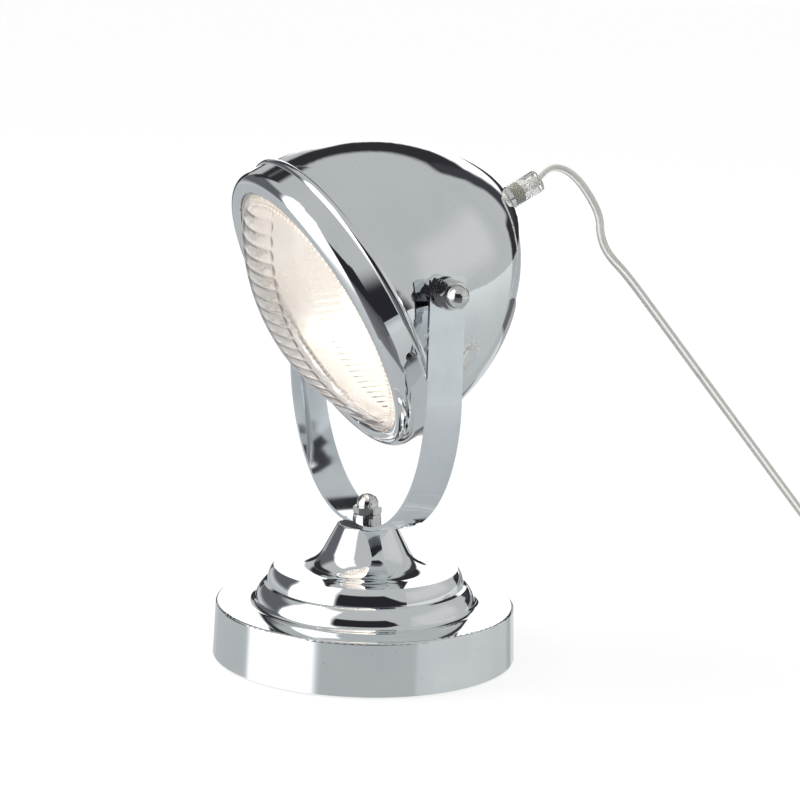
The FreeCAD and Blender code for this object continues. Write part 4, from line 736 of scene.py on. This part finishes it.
# %% Pressed lens glass: the moulded pattern is stored on the mesh as "flute"
GROOVE_SHADE_EDGE, GROOVE_SHADE_SHARE, GROOVE_SHADE_GREY = (0.45, 0.05), 0.2, (0.74, 0.75, 0.76)
lens_glass, tree = new_material("pressed_glass")
marks = surface_marks(tree, cloud_scale=60.0, grain_scale=900.0)
flute = add(tree, "ShaderNodeAttribute", attribute_name="flute").outputs["Fac"]
tone = blend_colours(tree, marks.outputs["Cloud"], (1.0, 0.975, 0.945), (0.98, 0.955, 0.93))
# Painted shade: where the stored flute value is low (between the ribs and over the border on the
# inside face), grey is mixed into the glass.
groove_shade = fade(tree, flute, *GROOVE_SHADE_EDGE, high=GROOVE_SHADE_SHARE)
tone = blend_colours(tree, groove_shade, tone, GROOVE_SHADE_GREY)
# Painted glow: the faint warm emission stands in for the bulb's light coming through the glass.
close(tree, {"Base Color": tone, "Metallic": 0.0, "Transmission Weight": 1.0, "IOR": 1.40,
             "Emission Color": (1, 0.86, 0.76, 1), "Emission Strength": 0.03,
             "Roughness": math_node(tree, "MULTIPLY_ADD", marks.outputs["Cloud"], 0.05, 0.03)},
      marks.outputs["Cloud"], 0.15, 0.0002)
FINISHES["lens_glass"] = lens_glass
print("finishes", sorted(FINISHES))

# %% [markdown]
# ## The grip's brass thread
# Through the clear grip one sees a brass-grey threaded sleeve. A thread seen at this size is only
# a row of fine ridges, so it is drawn by height along the head's axis and not cut.

# %% The threaded sleeve
TILT = math.radians(28)
PIVOT_HEIGHT = 0.2054
PIVOT_RISE = 0.0054


def head_point(across, rise, forward):
    """A place on the head, from millimetres across, above the lamp axis and before the pivot."""
    a, u, f = across * MM, rise * MM - PIVOT_RISE, forward * MM
    return Vector((a, -u * math.sin(TILT) - f * math.cos(TILT),
                   PIVOT_HEIGHT + u * math.cos(TILT) - f * math.sin(TILT)))


thread, tree = new_material("brass_thread")
place = object_place(tree)
turned = add(tree, "ShaderNodeMapping", {"Vector": place, "Rotation": (-TILT, 0, 0)})
along = add(tree, "ShaderNodeSeparateXYZ", {0: turned.outputs[0]}).outputs["Y"]
ridge = place_group(tree, rings, {"Along": along, "Pitch": 0.0011}).outputs["Ridge"]
marks = surface_marks(tree, 300.0, 2000.0, place)
# Painted shade and highlight: the colour is dark in the thread's valleys and light on its crests.
tone = blend_colours(tree, ridge, (0.24, 0.21, 0.12), (0.62, 0.57, 0.40))
tone = blend_colours(tree, math_node(tree, "MULTIPLY", marks.outputs["Cloud"], 0.4), tone,
                     (0.45, 0.44, 0.40))
close(tree, {"Metallic": 0.8, "Base Color": tone, "Roughness": 0.35}, ridge, 1.0, 0.0004)
print("thread", len(tree.nodes), "nodes")

# %% Give every CAD node its finish
OWN_FINISH = {"yoke_bracket": strip_chrome, "grip_sleeve": thread, "trim_screw": dark_screw}
for node in frame["nodes"]:
    if node.endswith(("cap_nut", "cap_nuts", "flat_washer", "flat_washers", "jam_nuts",
                      "spring_washer", "spring_washers")):
        OWN_FINISH[node] = fastener_chrome
for subpart in frame["record"]["subparts"]:
    node, slot = subpart["node"], subpart["material_slot"]
    chosen = OWN_FINISH.get(node, FINISHES[slot])
    holder = frame["nodes"][node]
    if not holder.material_slots:
        holder.data.materials.append(chosen)
    for spot in holder.material_slots:
        spot.material = chosen

# %% [markdown]
# ## The lens
# The lens is a pressed glass dome. Inside its smooth front run moulded ribs: wide round-ended
# ones over the far half, fine ones at the near side, and a plain border outside a small step. A
# grid of rows follows the ribs, which a polar mesh would cut across. The ribs come from Geometry
# Nodes: one formula for height, with the pitches and widths as inputs.

# %% A closed blank: front dome, flange, inside dome
CURVE_CENTRE = -52.44
OUTER_CURVE, INNER_CURVE = 113.64, 110.64
DOME_EDGE, INSIDE_EDGE, LENS_EDGE = 69.2, 67.5, 72.6
FLANGE_FRONT, FLANGE_BACK = 37.70, 35.22
EDGE_BEVEL = 0.3
ROWS, COLUMNS = 260, 96


def dome(radius, curve):
    return CURVE_CENTRE + math.sqrt(curve * curve - radius * radius)


def lens_blank():
    work = bmesh.new()
    inside = work.verts.layers.float.new("inside")
    across_layer = work.verts.layers.float.new("across")
    rise_layer = work.verts.layers.float.new("rise")

    def sheet(edge, curve, is_inside):
        rows = []
        for row in range(ROWS + 1):
            rise = -1 + 2 * row / ROWS
            half = math.sqrt(max(0.0, 1 - rise * rise))
            count = 1 if row in (0, ROWS) else COLUMNS + 1
            line = []
            for column in range(count):
                side = 0.0 if count == 1 else (-1 + 2 * column / COLUMNS) * half
                a, u = side * edge, rise * edge
                vertex = work.verts.new(head_point(a, u, dome(math.hypot(a, u), curve)))
                vertex[inside] = 1.0 if is_inside else 0.0
                vertex[across_layer], vertex[rise_layer] = a * MM, u * MM
                line.append(vertex)
            rows.append(line)
        return rows

    def fill(rows):
        for one, two in zip(rows, rows[1:]):
            if len(one) == 1 or len(two) == 1:
                tip, line = (one[0], two) if len(one) == 1 else (two[0], one)
                for k in range(COLUMNS):
                    work.faces.new((tip, line[k], line[k + 1]))
            else:
                for k in range(COLUMNS):
                    work.faces.new((one[k], one[k + 1], two[k + 1], two[k]))

    def rim(rows):
        return ([rows[0][0]] + [line[-1] for line in rows[1:-1]] + [rows[-1][0]]
                + [line[0] for line in reversed(rows[1:-1])])

    front = sheet(DOME_EDGE, OUTER_CURVE, False)
    behind = sheet(INSIDE_EDGE, INNER_CURVE, True)
    fill(front)
    fill(behind)
    loops = [rim(front)]
    for radius, forward in ((LENS_EDGE - EDGE_BEVEL, FLANGE_FRONT),
                            (LENS_EDGE, FLANGE_FRONT - EDGE_BEVEL), (LENS_EDGE, FLANGE_BACK)):
        loop = []
        for vertex in loops[0]:
            a, u = vertex[across_layer] / MM, vertex[rise_layer] / MM
            size = radius / math.hypot(a, u)
            loop.append(work.verts.new(head_point(a * size, u * size, forward)))
        loops.append(loop)
    loops.append(rim(behind))
    for one, two in zip(loops, loops[1:]):
        for k in range(len(one)):
            n = (k + 1) % len(one)
            work.faces.new((one[k], one[n], two[n], two[k]))
    bmesh.ops.recalc_face_normals(work, faces=work.faces)
    for face in work.faces:
        face.smooth = True
    mesh = bpy.data.meshes.new("lens_dome")
    work.to_mesh(mesh)
    work.free()
    return mesh


# %% Geometry Nodes: the ribs' height
def node_tree(name, sockets):
    tree = bpy.data.node_groups.new(name, "GeometryNodeTree")
    tree.interface.new_socket("Geometry", in_out="INPUT", socket_type="NodeSocketGeometry")
    for label, kind, value in sockets:
        made = tree.interface.new_socket(label, in_out="INPUT", socket_type=kind)
        if value is not None:
            made.default_value = value
    tree.interface.new_socket("Geometry", in_out="OUTPUT", socket_type="NodeSocketGeometry")
    return tree, add(tree, "NodeGroupInput"), add(tree, "NodeGroupOutput")


def read(tree, name):
    return add(tree, "GeometryNodeInputNamedAttribute", {"Name": name},
               data_type="FLOAT").outputs["Attribute"]


def round_ended_rib(tree, rise, overrun, pitch):
    """1 on a rib's crest, 0 between ribs; overrun is how far past its straight part a point is."""
    cell = math_node(tree, "SUBTRACT", math_node(tree, "FLOORED_MODULO", rise, pitch),
                     math_node(tree, "MULTIPLY", pitch, 0.5))
    over = math_node(tree, "MAXIMUM", overrun, 0.0)
    share = math_node(tree, "DIVIDE", length_node(tree, cell, over),
                      math_node(tree, "MULTIPLY", pitch, 0.5))
    share = math_node(tree, "MINIMUM", share, 1.0)
    return math_node(tree, "SUBTRACT", 1.0, math_node(tree, "POWER", share, 2.0))


fluting, given, gives = node_tree("moulded ribs", [
    ("Wide Pitch", FLOAT, 0.0065), ("Wide From", FLOAT, -0.062), ("Wide To", FLOAT, 0.0145),
    ("Side Pitch", FLOAT, 0.0036), ("Side Start", FLOAT, 0.0405),
    ("Side Height", FLOAT, 1.2), ("Step Radius", FLOAT, 0.063), ("Border Radius", FLOAT, 0.0665),
    ("Depth", FLOAT, 0.00032), ("Inward", VECTOR, None),
    ("Glass", "NodeSocketMaterial", None)])
across, rise = read(fluting, "across"), read(fluting, "rise")
inside = read(fluting, "inside")
radius = length_node(fluting, across, rise)
in_step = math_node(fluting, "LESS_THAN", radius, given.outputs["Step Radius"])
half_pitch = math_node(fluting, "MULTIPLY", given.outputs["Wide Pitch"], 0.5)
past_end = math_node(fluting, "SUBTRACT", across, math_node(
    fluting, "SUBTRACT", given.outputs["Wide To"], half_pitch))
before_start = math_node(fluting, "SUBTRACT", math_node(
    fluting, "ADD", given.outputs["Wide From"], half_pitch), across)
wide = round_ended_rib(fluting, rise, math_node(fluting, "MAXIMUM", past_end, before_start),
                       given.outputs["Wide Pitch"])
half_side = math_node(fluting, "MULTIPLY", given.outputs["Side Pitch"], 0.5)
before_side = math_node(fluting, "SUBTRACT", math_node(
    fluting, "ADD", given.outputs["Side Start"], half_side), across)
side = round_ended_rib(fluting, rise, before_side, given.outputs["Side Pitch"])
side = math_node(fluting, "MULTIPLY", side, given.outputs["Side Height"])
pattern = math_node(fluting, "MULTIPLY", math_node(fluting, "MAXIMUM", wide, side), in_step)
band = math_node(fluting, "MULTIPLY", math_node(fluting, "SUBTRACT", 1.0, in_step), 0.5)
in_border = math_node(fluting, "LESS_THAN", radius, given.outputs["Border Radius"])
edge_band = math_node(fluting, "MULTIPLY", band, in_border)
height = math_node(fluting, "MULTIPLY", math_node(fluting, "ADD", pattern, edge_band), inside)
offset = add(fluting, "ShaderNodeVectorMath", operation="SCALE")
fluting.links.new(given.outputs["Inward"], offset.inputs[0])
fluting.links.new(math_node(fluting, "MULTIPLY", height, given.outputs["Depth"]),
                  offset.inputs["Scale"])
moved = add(fluting, "GeometryNodeSetPosition", {"Geometry": given.outputs["Geometry"],
                                                 "Offset": offset.outputs[0]})
# The stored flute value sets where the glass material paints shade: low in the grooves and the
# border on the inside face, 1 or more on the front.
mark = math_node(fluting, "ADD", pattern, math_node(fluting, "SUBTRACT", 1.0, inside))
marked = add(fluting, "GeometryNodeStoreNamedAttribute",
             {"Geometry": moved.outputs[0], "Name": "flute", "Value": mark},
             data_type="FLOAT", domain="POINT")
whole = add(fluting, "GeometryNodeRealizeInstances", {"Geometry": marked.outputs[0]})
painted = add(fluting, "GeometryNodeSetMaterial", {"Geometry": whole.outputs[0],
                                                   "Material": given.outputs["Glass"]})
fluting.links.new(painted.outputs[0], gives.inputs[0])
print("moulded ribs", len(fluting.nodes), "nodes")

# %% Run a tree on a piece and keep the result as a plain mesh
def run_tree(piece, tree, values):
    modifier = piece.modifiers.new(tree.name, "NODES")
    modifier.node_group = tree
    names = {item.name: item.identifier for item in tree.interface.items_tree
             if item.item_type == "SOCKET" and item.in_out == "INPUT"}
    for label, value in values.items():
        modifier[names[label]] = value
    bpy.context.view_layer.update()
    graph = bpy.context.evaluated_depsgraph_get()
    mesh = bpy.data.meshes.new_from_object(piece.evaluated_get(graph))
    piece.modifiers.remove(modifier)
    piece.data = mesh
    mesh.name = piece.name
    for polygon in mesh.polygons:
        polygon.use_smooth = True
    print(piece.name, "made by", tree.name, "-", len(mesh.polygons), "faces")
    return piece


forward_way = (head_point(0, 0, 1) - head_point(0, 0, 0)).normalized()
lens = run_tree(make_piece("lens_dome", lens_blank()), fluting,
                {"Inward": tuple(-forward_way), "Glass": lens_glass})
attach(lens, "head")
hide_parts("lens")

# %% [markdown]
# ## The row of beads
# Where the fine ribs end, the glass has a ring of small beads just inside the plain border. A
# circle of points with one bead on each is all that is needed.

# %% Geometry Nodes: beads on a circle
BEAD_COUNT, BEAD_RING, BEAD_RADIUS, BEAD_GAP = 120, 62.9, 1.1, 0.55
beading, given, gives = node_tree("bead ring", [
    ("Count", "NodeSocketInt", BEAD_COUNT), ("Ring Radius", FLOAT, BEAD_RING * MM),
    ("Bead Radius", FLOAT, BEAD_RADIUS * MM), ("Glass", "NodeSocketMaterial", None)])
circle = add(beading, "GeometryNodeMeshCircle", {"Vertices": given.outputs["Count"],
                                                 "Radius": given.outputs["Ring Radius"]})
bead = add(beading, "GeometryNodeMeshIcoSphere", {"Radius": given.outputs["Bead Radius"],
                                                  "Subdivisions": 2})
strung = add(beading, "GeometryNodeInstanceOnPoints", {"Points": circle.outputs[0],
                                                       "Instance": bead.outputs[0]})
whole = add(beading, "GeometryNodeRealizeInstances", {"Geometry": strung.outputs[0]})
painted = add(beading, "GeometryNodeSetMaterial", {"Geometry": whole.outputs[0],
                                                   "Material": given.outputs["Glass"]})
beading.links.new(painted.outputs[0], gives.inputs[0])

beads = run_tree(make_piece("lens_beads", bpy.data.meshes.new("lens_beads")), beading,
                 {"Glass": lens_glass})
bead_forward = dome(BEAD_RING, INNER_CURVE) - BEAD_GAP - BEAD_RADIUS
stand = Matrix.Translation(head_point(0, 0, bead_forward))
beads.data.transform(stand @ forward_way.to_track_quat("Z", "Y").to_matrix().to_4x4())
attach(beads, "head")

# %% [markdown]
# ## The lead, laid on its line
# The hanging part crosses two joints: the head's tilt and the yoke's turn. So it is made in two
# lengths, split well down the slope: one from the grip to the split, the other from the split
# to the table. The flat side turns on its way, by how far along the lead it is.

# %% Hanging lead in two lengths
SPLIT = Vector((0, 201, 138)) * MM
GRIP_TWIST, HANG_TWIST = 35, 85
TURN_FROM, TURN_TO = 0.060, 0.0934
LEVEL_FROM, LEVEL_TO = 0.2634, 0.3434
nearest = min(range(len(drop_line)), key=lambda k: (drop_line[k] - SPLIT).length)
upper_line, lower_line = drop_line[:nearest + 1], drop_line[nearest:]
upper_length = line_length(upper_line)


def upper_twist(travelled):
    turned_by = (HANG_TWIST - GRIP_TWIST) * ease(travelled, TURN_FROM, TURN_TO)
    return math.radians(GRIP_TWIST + turned_by)


def lower_twist(travelled):
    from_grip = upper_length + travelled
    return math.radians(HANG_TWIST - HANG_TWIST * ease(from_grip, LEVEL_FROM, LEVEL_TO))


lead_upper = carry_section("lead_upper", upper_line, upper_twist, lead_skin)
lead_lower = carry_section("lead_lower", lower_line, lower_twist, lead_skin)
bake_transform(lead_upper)
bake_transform(lead_lower)
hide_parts("lead_drop")
print("hanging lead", round(upper_length, 4), "+", round(line_length(lower_line), 4), "m")

# %% Run and coil, down to the plug
ON_EDGE = 90
RISE_FROM, RISE_TO = 0.02, 0.085


def coil_twist(travelled):
    return math.radians(ON_EDGE * ease(travelled, RISE_FROM, RISE_TO))


lead_wound = carry_section("lead_wound", coil_line, coil_twist, lead_skin)
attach(lead_wound, "root")
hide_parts("lead_run", "lead_coil")
print("wound lead", round(line_length(coil_line), 4), "m")
